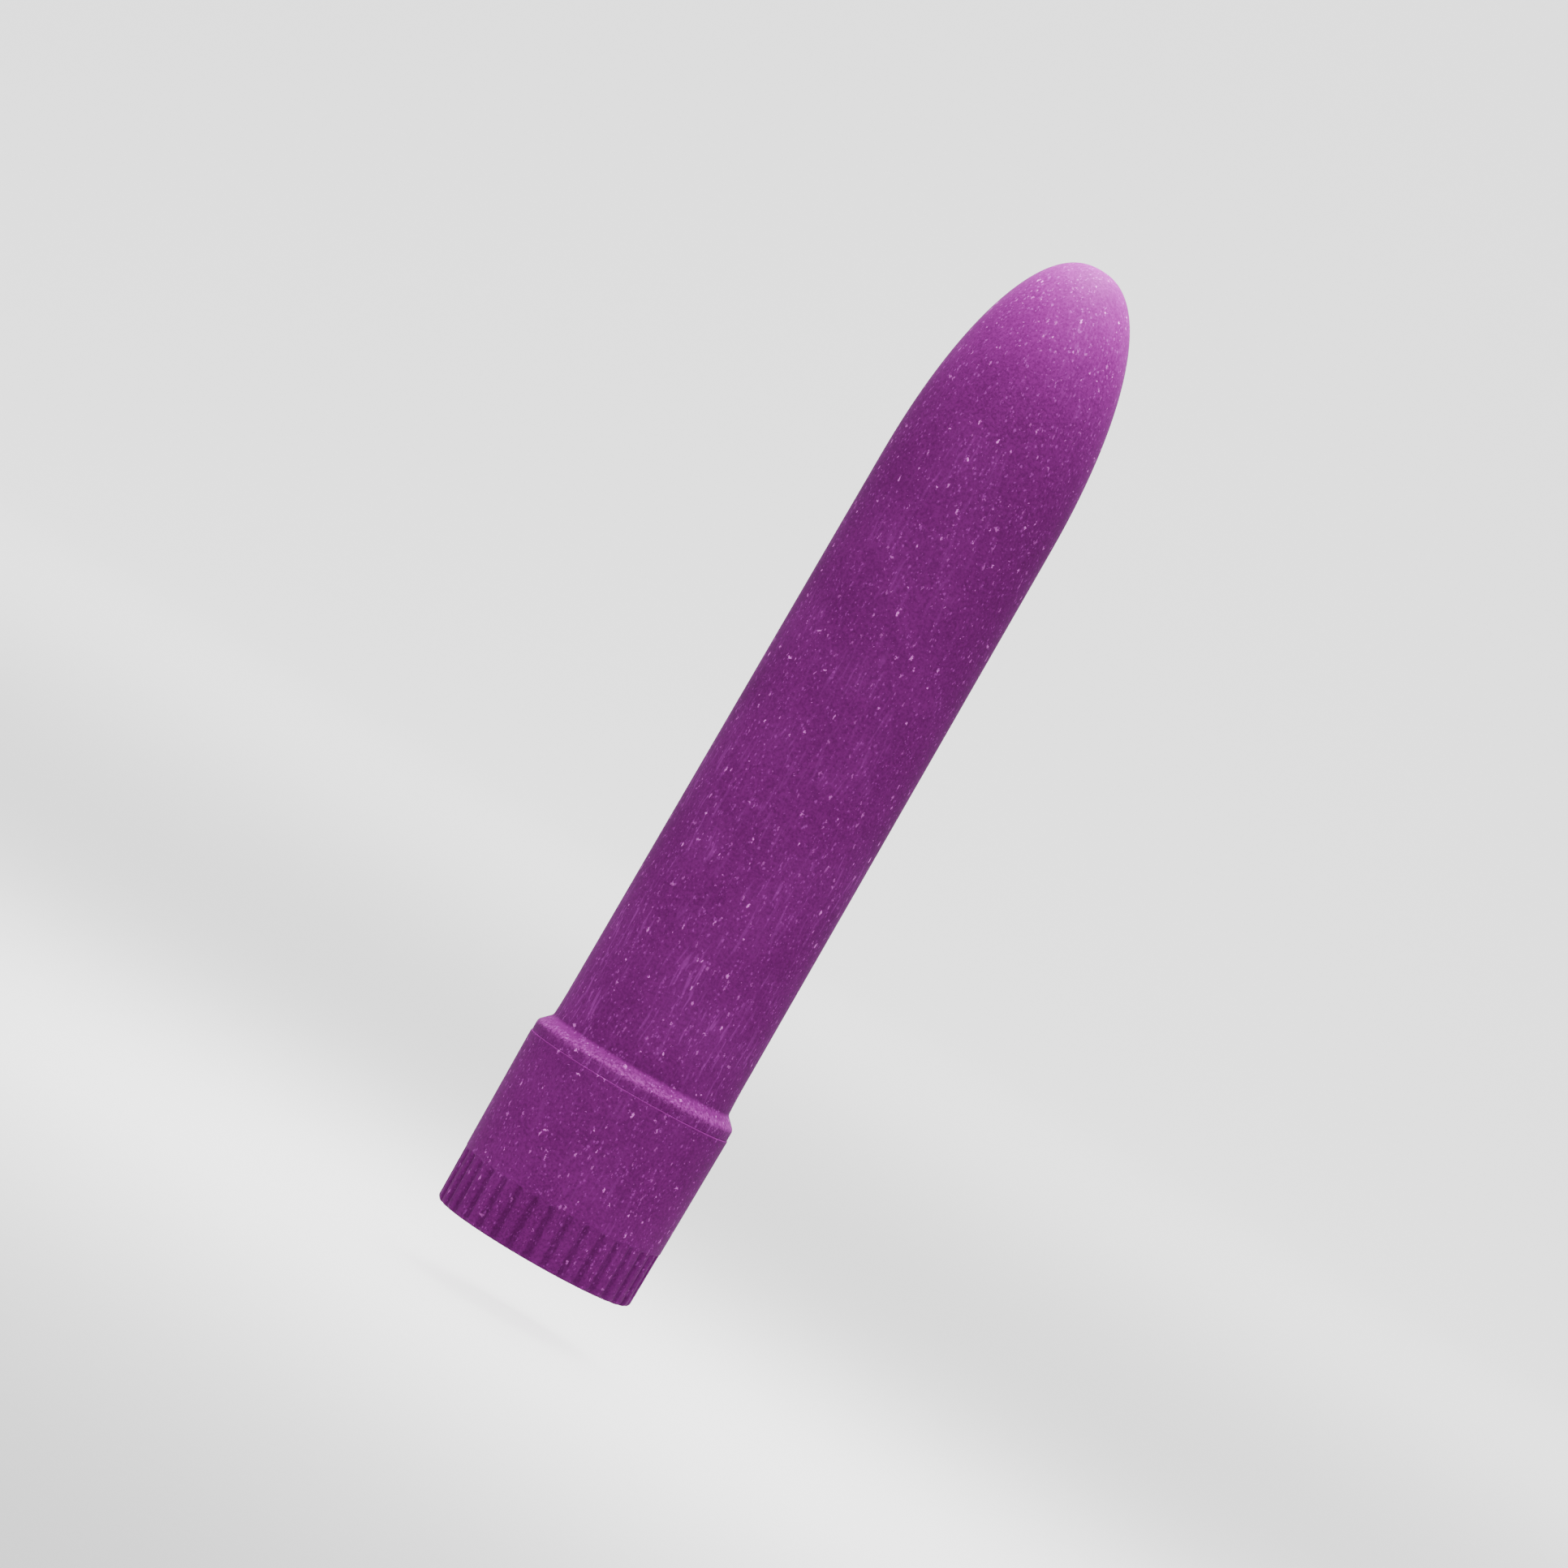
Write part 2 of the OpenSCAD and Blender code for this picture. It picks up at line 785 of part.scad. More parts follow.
module core_section() {
    shoe_in_r = armature_r - shoe_t;
    reach = 2 * armature_r;
    half = shoe_sweep / 2;
    difference() {
        union() {
            circle(r = hub_r);
            for (a = [0, 120, 240])
                rotate(a)
                    translate([0, -web_w / 2])
                        square([shoe_in_r + shoe_t / 2, web_w]);
            for (a = [0, 120, 240])
                intersection() {
                    difference() {
                        circle(r = armature_r);
                        circle(r = shoe_in_r);
                    }
                    polygon([
                        [0, 0],
                        [reach * cos(a - half), reach * sin(a - half)],
                        [reach * cos(a + half), reach * sin(a + half)]
                    ]);
                }
        }
        circle(r = shaft_r);
    }
}

module armature_core() {
    color([0.5, 0.5, 0.52])
        translate([0, 0, armature_z])
            linear_extrude(height = armature_l)
                core_section();
}

module armature_winding() {
    coil_r = armature_r - shoe_t - coil_gap;
    color([0.72, 0.38, 0.16])
        difference() {
            ring(coil_r, hub_r + coil_gap, armature_z - coil_over, armature_z + armature_l + coil_over);
            for (a = [0, 120, 240])
                rotate([0, 0, a])
                    translate([0, -web_w / 2 - coil_gap, armature_z - coil_gap])
                        cube([armature_r, web_w + 2 * coil_gap, armature_l + 2 * coil_gap]);
        }
}

module commutator() {
    color([0.78, 0.5, 0.3])
        difference() {
            ring(commutator_r, shaft_r, commutator_z, commutator_z + commutator_l);
            for (a = [60, 180, 300])
                rotate([0, 0, a])
                    translate([shaft_r + coil_over / 2, -commutator_slot / 2, commutator_z - eps])
                        cube([commutator_r, commutator_slot, commutator_l + 2 * eps]);
        }
}

module eccentric_weight() {
    color([0.6, 0.6, 0.62])
        difference() {
            disc(weight_r, weight_z, weight_z + weight_l);
            disc(shaft_r, weight_z - eps, weight_z + weight_l + eps);
            translate([-2 * weight_r, -weight_r, weight_z - eps])
                cube([2 * weight_r - weight_flat, 2 * weight_r, weight_l + 2 * eps]);
        }
}

casing();
twist_cap();
carrier();
resistance_ring();
contact_ring();
spring_plate();
carrier_rivet();
wiper();
wiper_rivets();
contact_spring();
side_strip();
cell_rear_can();
cell_rear_core();
cell_rear_sleeve();
cell_rear_nub();
cell_rear_seal();
cell_front_can();
cell_front_core();
cell_front_sleeve();
cell_front_nub();
cell_front_seal();
bulkhead();
front_contact();
front_rivet();
motor_mount();
motor_can();
motor_end();
motor_magnets();
motor_bushes();
motor_brushes();
motor_terminals();
positive_lead();
negative_lead();
motor_shaft();
armature_core();
armature_winding();
commutator();
eccentric_weight();
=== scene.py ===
import json
import math

import bmesh
import bpy
from bpy.props import FloatProperty, FloatVectorProperty, IntProperty, PointerProperty
from mathutils import Matrix, Vector


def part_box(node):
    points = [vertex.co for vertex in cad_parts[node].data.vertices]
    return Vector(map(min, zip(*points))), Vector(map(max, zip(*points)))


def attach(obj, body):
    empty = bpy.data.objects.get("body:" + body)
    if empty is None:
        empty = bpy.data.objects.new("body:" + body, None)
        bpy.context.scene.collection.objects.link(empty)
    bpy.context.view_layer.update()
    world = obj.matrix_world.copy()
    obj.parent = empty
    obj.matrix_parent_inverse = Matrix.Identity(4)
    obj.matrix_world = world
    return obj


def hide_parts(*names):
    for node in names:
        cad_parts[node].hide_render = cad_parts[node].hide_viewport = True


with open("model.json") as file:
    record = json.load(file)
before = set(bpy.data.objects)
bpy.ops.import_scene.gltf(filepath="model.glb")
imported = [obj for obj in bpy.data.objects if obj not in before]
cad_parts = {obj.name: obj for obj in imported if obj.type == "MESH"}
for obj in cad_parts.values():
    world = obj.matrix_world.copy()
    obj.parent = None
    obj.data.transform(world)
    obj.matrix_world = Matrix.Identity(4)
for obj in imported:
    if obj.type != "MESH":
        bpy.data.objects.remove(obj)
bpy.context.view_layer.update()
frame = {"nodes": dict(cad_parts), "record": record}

bl_info = {
    "name": "Twist-cap massager",
    "version": (1, 0, 0),
    "blender": (4, 2, 0),
    "location": "3D View > Sidebar > Massager",
    "description": "Casing, twist cap, cells, motor and contacts of a slim battery massager",
    "category": "Object",
}

CASING_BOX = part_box("casing")
CAP_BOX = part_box("twist_cap")
CARRIER_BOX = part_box("carrier")

MM = 0.001
NECK_FOOT = CASING_BOX[0].z
TIP = CASING_BOX[1].z
BEAD_R = CASING_BOX[1].x
CAP_TOP = CAP_BOX[1].z
CAP_TOP_R = CAP_BOX[1].x
CARRIER_FOOT = 5.5 * MM
BEAD_FOOT = CAP_TOP + 0.15 * MM
FOOT_FLARE = 0.13 * MM
FLARE_L = 4.75 * MM
LIP_IN = 0.2 * MM
LIP_OUT = 0.25 * MM
THREAD_Z = 18.8 * MM
THREAD_TURNS = 1.5
THREAD_CREST = 0.53
SNAP_BEAD = 0.2 * MM
CAP_PLAY = 0.08 * MM
SNAP_TOP = 25.2 * MM
SNAP_FOOT = 23.8 * MM
SNAP_D = 0.3 * MM
CAP_FLOOR = 2.0 * MM
SHELF_GAP = 0.15 * MM
POLE_R = 0.4 * MM
GROOVE_FADE = 0.4 * MM


# ---------------------------------------------------------------- sizes and colours

class MassagerSizes(bpy.types.PropertyGroup):
    barrel_r: FloatProperty(
        name="Barrel radius", description="Barrel radius just above the shoulder",
        default=15.72 * MM, unit="LENGTH", precision=5)
    draft: FloatProperty(
        name="Draft", description="How much the barrel narrows up to the nose",
        default=0.32 * MM, unit="LENGTH", precision=5)
    nose_l: FloatProperty(
        name="Nose length", description="Length of the rounded nose",
        default=43 * MM, unit="LENGTH", precision=5)
    nose_p: FloatProperty(
        name="Nose fullness", description="Exponent of the nose curve along its length",
        default=2.15)
    nose_q: FloatProperty(
        name="Nose breadth", description="Exponent of the nose curve across its width", default=2.3)
    wall: FloatProperty(
        name="Casing wall", description="Wall of the casing where the nose begins",
        default=1.8 * MM, unit="LENGTH", precision=5)
    neck_wall: FloatProperty(
        name="Neck wall", description="Wall of the threaded neck",
        default=1.0 * MM, unit="LENGTH", precision=5)
    seam: FloatProperty(
        name="Seam", description="Open line between the casing and the cap",
        default=0.075 * MM, unit="LENGTH", precision=5)
    bead_h: FloatProperty(
        name="Bead height", description="Straight height of the shoulder bead",
        default=1.32 * MM, unit="LENGTH", precision=5)
    bead_corner: FloatProperty(
        name="Bead corner", description="Outer corner radius of the bead",
        default=1.1 * MM, unit="LENGTH", precision=5)
    bead_fillet: FloatProperty(
        name="Bead fillet", description="Hollow corner where the bead meets the barrel",
        default=1.0 * MM, unit="LENGTH", precision=5)
    seam_edge: FloatProperty(
        name="Seam edge", description="Small rounding of the edges along the seam",
        default=0.08 * MM, unit="LENGTH", precision=5)
    pitch: FloatProperty(
        name="Thread pitch", description="Rise of the thread in one turn",
        default=3.0 * MM, unit="LENGTH", precision=5)
    cap_draft: FloatProperty(
        name="Cap draft", description="How much narrower the cap is at its base",
        default=0.37 * MM, unit="LENGTH", precision=5)
    base_edge: FloatProperty(
        name="Base edge", description="Rounded edge of the flat base",
        default=0.8 * MM, unit="LENGTH", precision=5)
    groove_count: IntProperty(
        name="Grooves", description="Number of grooves round the grip band", default=35, min=3)
    groove_h: FloatProperty(
        name="Grip height", description="Height of the grooved grip band",
        default=9.6 * MM, unit="LENGTH", precision=5)
    groove_d: FloatProperty(
        name="Groove depth", description="Depth of a grip groove",
        default=0.40 * MM, unit="LENGTH", precision=5)
    grip_step: FloatProperty(
        name="Grip ledge", description="How far the grip band lies below the smooth band",
        default=0.07 * MM, unit="LENGTH", precision=5)
    tilt: FloatProperty(
        name="View tilt", description="How far the view looks down on the standing object",
        default=math.radians(0.54), unit="ROTATION")


class MassagerColours(bpy.types.PropertyGroup):
    purple: FloatVectorProperty(
        name="Purple", description="Body colour of the casing and cap",
        default=(0.090, 0.0074, 0.086), size=3, subtype="COLOR", min=0, max=1)
    purple_deep: FloatVectorProperty(
        name="Deep purple", description="Darker patches in the moulding",
        default=(0.054, 0.0040, 0.0515), size=3, subtype="COLOR", min=0, max=1)
    flow: FloatVectorProperty(
        name="Flow lines", description="Pale streaks left by the plastic's flow",
        default=(0.20, 0.030, 0.205), size=3, subtype="COLOR", min=0, max=1)
    # painted highlight: a paler tone for the shoulder bead's upper flank, standing in for the light
    # from above
    shoulder_highlight: FloatVectorProperty(
        name="Painted shoulder highlight", description="Painted highlight along the rounded shoulder",
        default=(0.235, 0.040, 0.22), size=3, subtype="COLOR", min=0, max=1)
    glitter: FloatVectorProperty(
        name="Glitter", description="Flakes in the plastic",
        default=(0.46, 0.095, 0.44), size=3, subtype="COLOR", min=0, max=1)
    floor: FloatVectorProperty(
        name="Floor", description="Plain pale floor and backdrop",
        default=(0.71, 0.71, 0.71), size=3, subtype="COLOR", min=0, max=1)


# ---------------------------------------------------------------- modelling helpers

def clear_selection():
    if bpy.context.object and bpy.context.object.mode != "OBJECT":
        bpy.ops.object.mode_set(mode="OBJECT")
    bpy.ops.object.select_all(action="DESELECT")


def edit(obj):
    clear_selection()
    obj.select_set(True)
    bpy.context.view_layer.objects.active = obj
    bpy.ops.object.mode_set(mode="EDIT")
    bpy.ops.mesh.select_mode(type="VERT")


def choose(obj, test):
    """Select the vertices that pass a test of their place, and return how many there are."""
    bpy.ops.mesh.select_all(action="DESELECT")
    bm = bmesh.from_edit_mesh(obj.data)
    count = 0
    for v in bm.verts:
        if test(v.co):
            v.select = True
            count += 1
    bm.select_flush(True)
    bmesh.update_edit_mesh(obj.data)
    return count


def close_pole(rise):
    bpy.ops.mesh.extrude_region_move()
    bpy.ops.mesh.merge(type="CENTER")
    if rise:
        bpy.ops.transform.translate(value=(0, 0, rise))


def turned(name, path, sides, first_rise, last_rise):
    """A closed turned body: a ring is extruded and resized along a path of (radius, height)."""
    clear_selection()
    r, z = path[0]
    bpy.ops.mesh.primitive_circle_add(
        vertices=sides, radius=r, fill_type="NOTHING", location=(0, 0, z))
    obj = bpy.context.object
    obj.name = name
    obj.data.name = name
    bpy.ops.object.transform_apply(location=True, rotation=True, scale=True)
    edit(obj)
    bpy.ops.mesh.select_all(action="SELECT")
    close_pole(first_rise)
    if choose(obj, lambda c: math.hypot(c.x, c.y) > r * 0.5) != sides:
        raise RuntimeError(name + ": the first ring was not found")
    for nr, nz in path[1:]:
        bpy.ops.mesh.extrude_region_move()
        bpy.ops.transform.translate(value=(0, 0, nz - z))
        k = nr / r
        if abs(k - 1) > 1e-9:
            bpy.ops.transform.resize(value=(k, k, 1), center_override=(0, 0, nz))
        r, z = nr, nz
    close_pole(last_rise)
    bpy.ops.mesh.select_all(action="SELECT")
    bpy.ops.mesh.remove_doubles(threshold=1e-8)
    bpy.ops.mesh.normals_make_consistent(inside=False)
    bpy.ops.object.mode_set(mode="OBJECT")
    return obj


def smooth(obj, degrees):
    clear_selection()
    obj.select_set(True)
    bpy.context.view_layer.objects.active = obj
    bpy.ops.object.shade_smooth_by_angle(angle=math.radians(degrees))


def join(main, *others):
    clear_selection()
    for o in others:
        o.select_set(True)
    main.select_set(True)
    bpy.context.view_layer.objects.active = main
    bpy.ops.object.join()
    return main


def apply_modifiers(obj):
    clear_selection()
    obj.select_set(True)
    bpy.context.view_layer.objects.active = obj
    for m in list(obj.modifiers):
        bpy.ops.object.modifier_apply(modifier=m.name)


def corner(cx, cz, r, a0, a1, steps):
    """Points of a rounded corner in the radius and height plane, by angle in degrees."""
    out = []
    for i in range(steps + 1):
        a = math.radians(a0 + (a1 - a0) * i / steps)
        out.append((cx + r * math.cos(a), cz + r * math.sin(a)))
    return out


def nose(r, length, start, p, q, steps):
    out = []
    for i in range(1, steps):
        u = math.sin(math.pi / 2 * i / steps)
        out.append((r * (1 - u ** p) ** (1 / q), start + length * u))
    return out


# ---------------------------------------------------------------- surface groups

def new_group(name, inputs, outputs):
    g = bpy.data.node_groups.new(name, "ShaderNodeTree")
    for label, kind, value in inputs:
        s = g.interface.new_socket(name=label, in_out="INPUT", socket_type=kind)
        if value is not None:
            s.default_value = value
    for label, kind in outputs:
        g.interface.new_socket(name=label, in_out="OUTPUT", socket_type=kind)
    return g, g.nodes.new("NodeGroupInput"), g.nodes.new("NodeGroupOutput")


def maths(tree, op, a, b=None):
    n = tree.nodes.new("ShaderNodeMath")
    n.operation = op
    for i, v in enumerate((a, b)):
        if v is None:
            continue
        if isinstance(v, (int, float)):
            n.inputs[i].default_value = v
        else:
            tree.links.new(v, n.inputs[i])
    return n.outputs[0]


def remap(tree, value, low, high, to_low=0.0, to_high=1.0):
    n = tree.nodes.new("ShaderNodeMapRange")
    n.interpolation_type = "SMOOTHSTEP"
    tree.links.new(value, n.inputs["Value"])
    ends = {"From Min": low, "From Max": high, "To Min": to_low, "To Max": to_high}
    for label, v in ends.items():
        if isinstance(v, (int, float)):
            n.inputs[label].default_value = v
        else:
            tree.links.new(v, n.inputs[label])
    return n.outputs["Result"]


def noise(tree, vector, scale, detail=2.0, rough=0.5):
    n = tree.nodes.new("ShaderNodeTexNoise")
    tree.links.new(vector, n.inputs["Vector"])
    if isinstance(scale, (int, float)):
        n.inputs["Scale"].default_value = scale
    else:
        tree.links.new(scale, n.inputs["Scale"])
    n.inputs["Detail"].default_value = detail
    n.inputs["Roughness"].default_value = rough
    return n.outputs["Fac"]


def flakes_group():
    """Bright flakes sunk in a moulding: cells per metre, how many of them shine, and how big."""
    g, i, o = new_group(
        "Moulded flakes",
        [("Vector", "NodeSocketVector", None), ("Cells", "NodeSocketFloat", 800.0),
         ("Share", "NodeSocketFloat", 0.2), ("Size", "NodeSocketFloat", 0.3),
         ("Ragged", "NodeSocketFloat", 0.0004), ("Shape", "NodeSocketVector", (1.0, 1.0, 1.0))],
        [("Mask", "NodeSocketFloat"), ("Tone", "NodeSocketFloat")])
    wobble = g.nodes.new("ShaderNodeTexNoise")
    wobble.inputs["Scale"].default_value = 2600.0
    wobble.inputs["Detail"].default_value = 1.0
    g.links.new(i.outputs["Vector"], wobble.inputs["Vector"])
    centred = g.nodes.new("ShaderNodeVectorMath")
    centred.operation = "SUBTRACT"
    centred.inputs[1].default_value = (0.5, 0.5, 0.5)
    g.links.new(wobble.outputs["Color"], centred.inputs[0])
    shift = g.nodes.new("ShaderNodeVectorMath")
    shift.operation = "SCALE"
    g.links.new(centred.outputs[0], shift.inputs[0])
    g.links.new(i.outputs["Ragged"], shift.inputs["Scale"])
    add = g.nodes.new("ShaderNodeVectorMath")
    add.operation = "ADD"
    g.links.new(i.outputs["Vector"], add.inputs[0])
    g.links.new(shift.outputs[0], add.inputs[1])
    drawn = g.nodes.new("ShaderNodeVectorMath")
    drawn.operation = "MULTIPLY"
    g.links.new(add.outputs[0], drawn.inputs[0])
    g.links.new(i.outputs["Shape"], drawn.inputs[1])
    cell = g.nodes.new("ShaderNodeTexVoronoi")
    cell.feature = "F1"
    g.links.new(drawn.outputs[0], cell.inputs["Vector"])
    g.links.new(i.outputs["Cells"], cell.inputs["Scale"])
    split = g.nodes.new("ShaderNodeSeparateColor")
    g.links.new(cell.outputs["Color"], split.inputs["Color"])
    lit = maths(g, "LESS_THAN", split.outputs[0], i.outputs["Share"])
    spread = maths(g, "MULTIPLY", split.outputs[1], split.outputs[1])
    grow = maths(g, "ADD", maths(g, "MULTIPLY", spread, 0.85), 0.4)
    reach = maths(g, "MULTIPLY", i.outputs["Size"], grow)
    inner = maths(g, "MULTIPLY", reach, 0.4)
    near = remap(g, cell.outputs["Distance"], inner, reach, 1.0, 0.0)
    g.links.new(maths(g, "MULTIPLY", near, lit), o.inputs["Mask"])
    tone = maths(g, "MULTIPLY", split.outputs[2], split.outputs[2])
    g.links.new(tone, o.inputs["Tone"])
    return g


def mottle_group():
    """Soft uneven tone of a moulding, coarse and fine."""
    g, i, o = new_group(
        "Moulding mottle",
        [("Vector", "NodeSocketVector", None), ("Coarse", "NodeSocketFloat", 90.0),
         ("Fine", "NodeSocketFloat", 1400.0)],
        [("Tone", "NodeSocketFloat"), ("Grain", "NodeSocketFloat")])
    coarse = noise(g, i.outputs["Vector"], i.outputs["Coarse"], 4.0, 0.6)
    fine = noise(g, i.outputs["Vector"], i.outputs["Fine"], 3.0, 0.7)
    both = maths(g, "ADD", maths(g, "MULTIPLY", coarse, 0.22), maths(g, "MULTIPLY", fine, 0.78))
    g.links.new(remap(g, both, 0.32, 0.68), o.inputs["Tone"])
    g.links.new(fine, o.inputs["Grain"])
    return g


def flow_group():
    """Thin pale streaks along the axis, strongest between two heights."""
    g, i, o = new_group(
        "Flow streaks",
        [("Vector", "NodeSocketVector", None), ("Low", "NodeSocketFloat", 0.035),
         ("High", "NodeSocketFloat", 0.11), ("Floor", "NodeSocketFloat", 0.35)],
        [("Mask", "NodeSocketFloat")])
    bend = g.nodes.new("ShaderNodeTexNoise")
    bend.inputs["Scale"].default_value = 120.0
    g.links.new(i.outputs["Vector"], bend.inputs["Vector"])
    shift = g.nodes.new("ShaderNodeVectorMath")
    shift.operation = "SCALE"
    shift.inputs["Scale"].default_value = 0.0016
    g.links.new(bend.outputs["Color"], shift.inputs[0])
    add = g.nodes.new("ShaderNodeVectorMath")
    add.operation = "ADD"
    g.links.new(i.outputs["Vector"], add.inputs[0])
    g.links.new(shift.outputs[0], add.inputs[1])
    stretch = g.nodes.new("ShaderNodeMapping")
    stretch.inputs["Scale"].default_value = (1.0, 1.0, 0.085)
    g.links.new(add.outputs[0], stretch.inputs["Vector"])
    lines = noise(g, stretch.outputs[0], 1900.0, 1.0, 0.5)
    patch = remap(g, noise(g, i.outputs["Vector"], 75.0, 2.0, 0.5), 0.42, 0.66)
    cover = maths(g, "ADD", maths(g, "MULTIPLY", patch, 0.75), 0.25)
    sharp = maths(g, "MULTIPLY", remap(g, lines, 0.56, 0.72), cover)
    thin = maths(g, "ADD", sharp, maths(g, "MULTIPLY", patch, 0.16))
    split = g.nodes.new("ShaderNodeSeparateXYZ")
    g.links.new(i.outputs["Vector"], split.inputs[0])
    fade = remap(g, split.outputs["Z"], i.outputs["Low"], i.outputs["High"],
                 1.0, i.outputs["Floor"])
    g.links.new(maths(g, "MULTIPLY", thin, fade), o.inputs["Mask"])
    return g


def brushed_group():
    """Fine drawn or turned lines on metal."""
    g, i, o = new_group(
        "Drawn metal",
        [("Vector", "NodeSocketVector", None), ("Lines", "NodeSocketFloat", 2500.0),
         ("Stretch", "NodeSocketVector", (1.0, 1.0, 0.05))],
        [("Line", "NodeSocketFloat"), ("Stain", "NodeSocketFloat")])
    mul = g.nodes.new("ShaderNodeVectorMath")
    mul.operation = "MULTIPLY"
    g.links.new(i.outputs["Vector"], mul.inputs[0])
    g.links.new(i.outputs["Stretch"], mul.inputs[1])
    g.links.new(noise(g, mul.outputs[0], i.outputs["Lines"], 3.0, 0.6), o.inputs["Line"])
    stain = noise(g, i.outputs["Vector"], 260.0, 4.0, 0.6)
    g.links.new(remap(g, stain, 0.4, 0.7), o.inputs["Stain"])
    return g


GROUPS = {}


def group(name):
    makers = {"flakes": flakes_group, "mottle": mottle_group,
              "flow": flow_group, "brushed": brushed_group}
    if name not in GROUPS:
        GROUPS[name] = makers[name]()
    return GROUPS[name]


def place_group(tree, name, vector, **values):
    n = tree.nodes.new("ShaderNodeGroup")
    n.node_tree = group(name)
    tree.links.new(vector, n.inputs["Vector"])
    for key, v in values.items():
        n.inputs[key].default_value = v
    return n.outputs


def new_material(name):
    m = bpy.data.materials.new(name)
    m.use_nodes = True
    tree = m.node_tree
    shader = next(n for n in tree.nodes if n.type == "BSDF_PRINCIPLED")
    coords = tree.nodes.new("ShaderNodeTexCoord")
    return m, tree, shader, coords.outputs["Object"]


def blend_colour(tree, mask, a, b):
    n = tree.nodes.new("ShaderNodeMix")
    n.data_type = "RGBA"
    tree.links.new(mask, n.inputs[0])
    for s, v in ((n.inputs[6], a), (n.inputs[7], b)):
        if isinstance(v, (tuple, list)) or hasattr(v, "r"):
            s.default_value = (v[0], v[1], v[2], 1.0)
        else:
            tree.links.new(v, s)
    return n.outputs[2]


def bump(tree, shader, height, depth, strength=1.0):
    n = tree.nodes.new("ShaderNodeBump")
    n.inputs["Strength"].default_value = strength
    n.inputs["Distance"].default_value = depth
    tree.links.new(height, n.inputs["Height"])
    tree.links.new(n.outputs[0], shader.inputs["Normal"])


def from_axis(tree, at):
    """Height of a point and its distance from the object's axis."""
    split = tree.nodes.new("ShaderNodeSeparateXYZ")
    tree.links.new(at, split.inputs[0])
    x, y, z = split.outputs
    squares = maths(tree, "ADD", maths(tree, "MULTIPLY", x, x), maths(tree, "MULTIPLY", y, y))
    return z, maths(tree, "SQRT", squares)


def glitter_plastic(name, colours, flow_low, flow_high, flow_floor, streaks, grip=None, shoulder_highlight=None):
    """Matt purple moulding with sunk flakes, flow streaks and fine mottling.

    grip is the top of the grooved band and the radii of its groove bottoms and ridges,
    between which a painted shade darkens the band a little and its groove bottoms most.
    The last argument is the foot and top of a painted highlight on the shoulder bead's upper flank,
    standing in for the light from above, and the radii between which it sets in.
    """
    m, tree, shader, at = new_material(name)
    mott = place_group(tree, "mottle", at, Coarse=110.0, Fine=2300.0)
    flow = place_group(tree, "flow", at, Low=flow_low, High=flow_high, Floor=flow_floor)
    fine = place_group(tree, "flakes", at, Cells=1550.0, Share=0.25, Size=0.35, Ragged=0.0007,
                       Shape=(1.0, 1.0, 0.42))
    big = place_group(tree, "flakes", at, Cells=1000.0, Share=0.11, Size=0.25, Ragged=0.0009,
                      Shape=(0.5, 0.5, 1.0))
    dust = place_group(tree, "flakes", at, Cells=2500.0, Share=0.40, Size=0.5, Ragged=0.0005,
                       Shape=(1.0, 1.0, 0.6))
    base = blend_colour(tree, mott["Tone"], tuple(colours.purple_deep), tuple(colours.purple))
    base = blend_colour(tree, maths(tree, "MULTIPLY", flow["Mask"], streaks), base, colours.flow)
    base = blend_colour(tree, maths(tree, "MULTIPLY", dust["Mask"], 0.55), base, colours.flow)
    small = maths(tree, "MULTIPLY", fine["Mask"], remap(tree, fine["Tone"], 0.0, 1.0, 0.25, 1.0))
    large = maths(tree, "MULTIPLY", big["Mask"], remap(tree, big["Tone"], 0.0, 1.0, 0.4, 0.95))
    shine = maths(tree, "MAXIMUM", small, large)
    base = blend_colour(tree, shine, base, colours.glitter)
    # painted highlight: the bead's upper flank made paler between two heights and two radii,
    # flecked by the fine grain, standing in for the light from above
    if shoulder_highlight:
        z, out = from_axis(tree, at)
        rise = remap(tree, z, shoulder_highlight[0], shoulder_highlight[0] + 0.8 * MM)
        fall = remap(tree, z, shoulder_highlight[1] - 0.9 * MM, shoulder_highlight[1], 1.0, 0.0)
        edge = maths(tree, "MULTIPLY", maths(tree, "MULTIPLY", rise, fall),
                     remap(tree, out, shoulder_highlight[2], shoulder_highlight[3]))
        edge = maths(tree, "MULTIPLY", edge, remap(tree, mott["Grain"], 0.38, 0.62, 0.0, 0.3))
        base = blend_colour(tree, edge, base, colours.shoulder_highlight)
    # painted shade: the grip band a little darker all round and its groove bottoms darker still,
    # standing in for the shade under the light from above
    if grip:
        z, out = from_axis(tree, at)
        band = remap(tree, z, grip[0] - 0.1 * MM, grip[0] + 0.1 * MM, 1.0, 0.0)
        deep = maths(tree, "MULTIPLY", band, remap(tree, out, grip[1], grip[2], 1.0, 0.0))
        shade = maths(tree, "ADD", maths(tree, "MULTIPLY", band, 0.10),
                      maths(tree, "MULTIPLY", deep, 0.30))
        dim = tuple(c * 0.25 for c in colours.purple_deep)
        base = blend_colour(tree, shade, base, dim)
    tree.links.new(base, shader.inputs["Base Color"])
    rough = remap(tree, mott["Grain"], 0.3, 0.7, 0.52, 0.62)
    rough = maths(tree, "SUBTRACT", rough, maths(tree, "MULTIPLY", shine, 0.18))
    tree.links.new(rough, shader.inputs["Roughness"])
    shader.inputs["Specular IOR Level"].default_value = 0.03
    shader.inputs["Specular Tint"].default_value = (1.0, 0.62, 1.0, 1.0)
    shader.inputs["Sheen Weight"].default_value = 0.007
    shader.inputs["Sheen Roughness"].default_value = 0.4
    shader.inputs["Sheen Tint"].default_value = (0.95, 0.35, 0.98, 1.0)
    shader.inputs["IOR"].default_value = 1.2
    height = maths(tree, "ADD", mott["Grain"], maths(tree, "MULTIPLY", shine, 0.8))
    bump(tree, shader, height, 0.00004, 0.7)
    return m


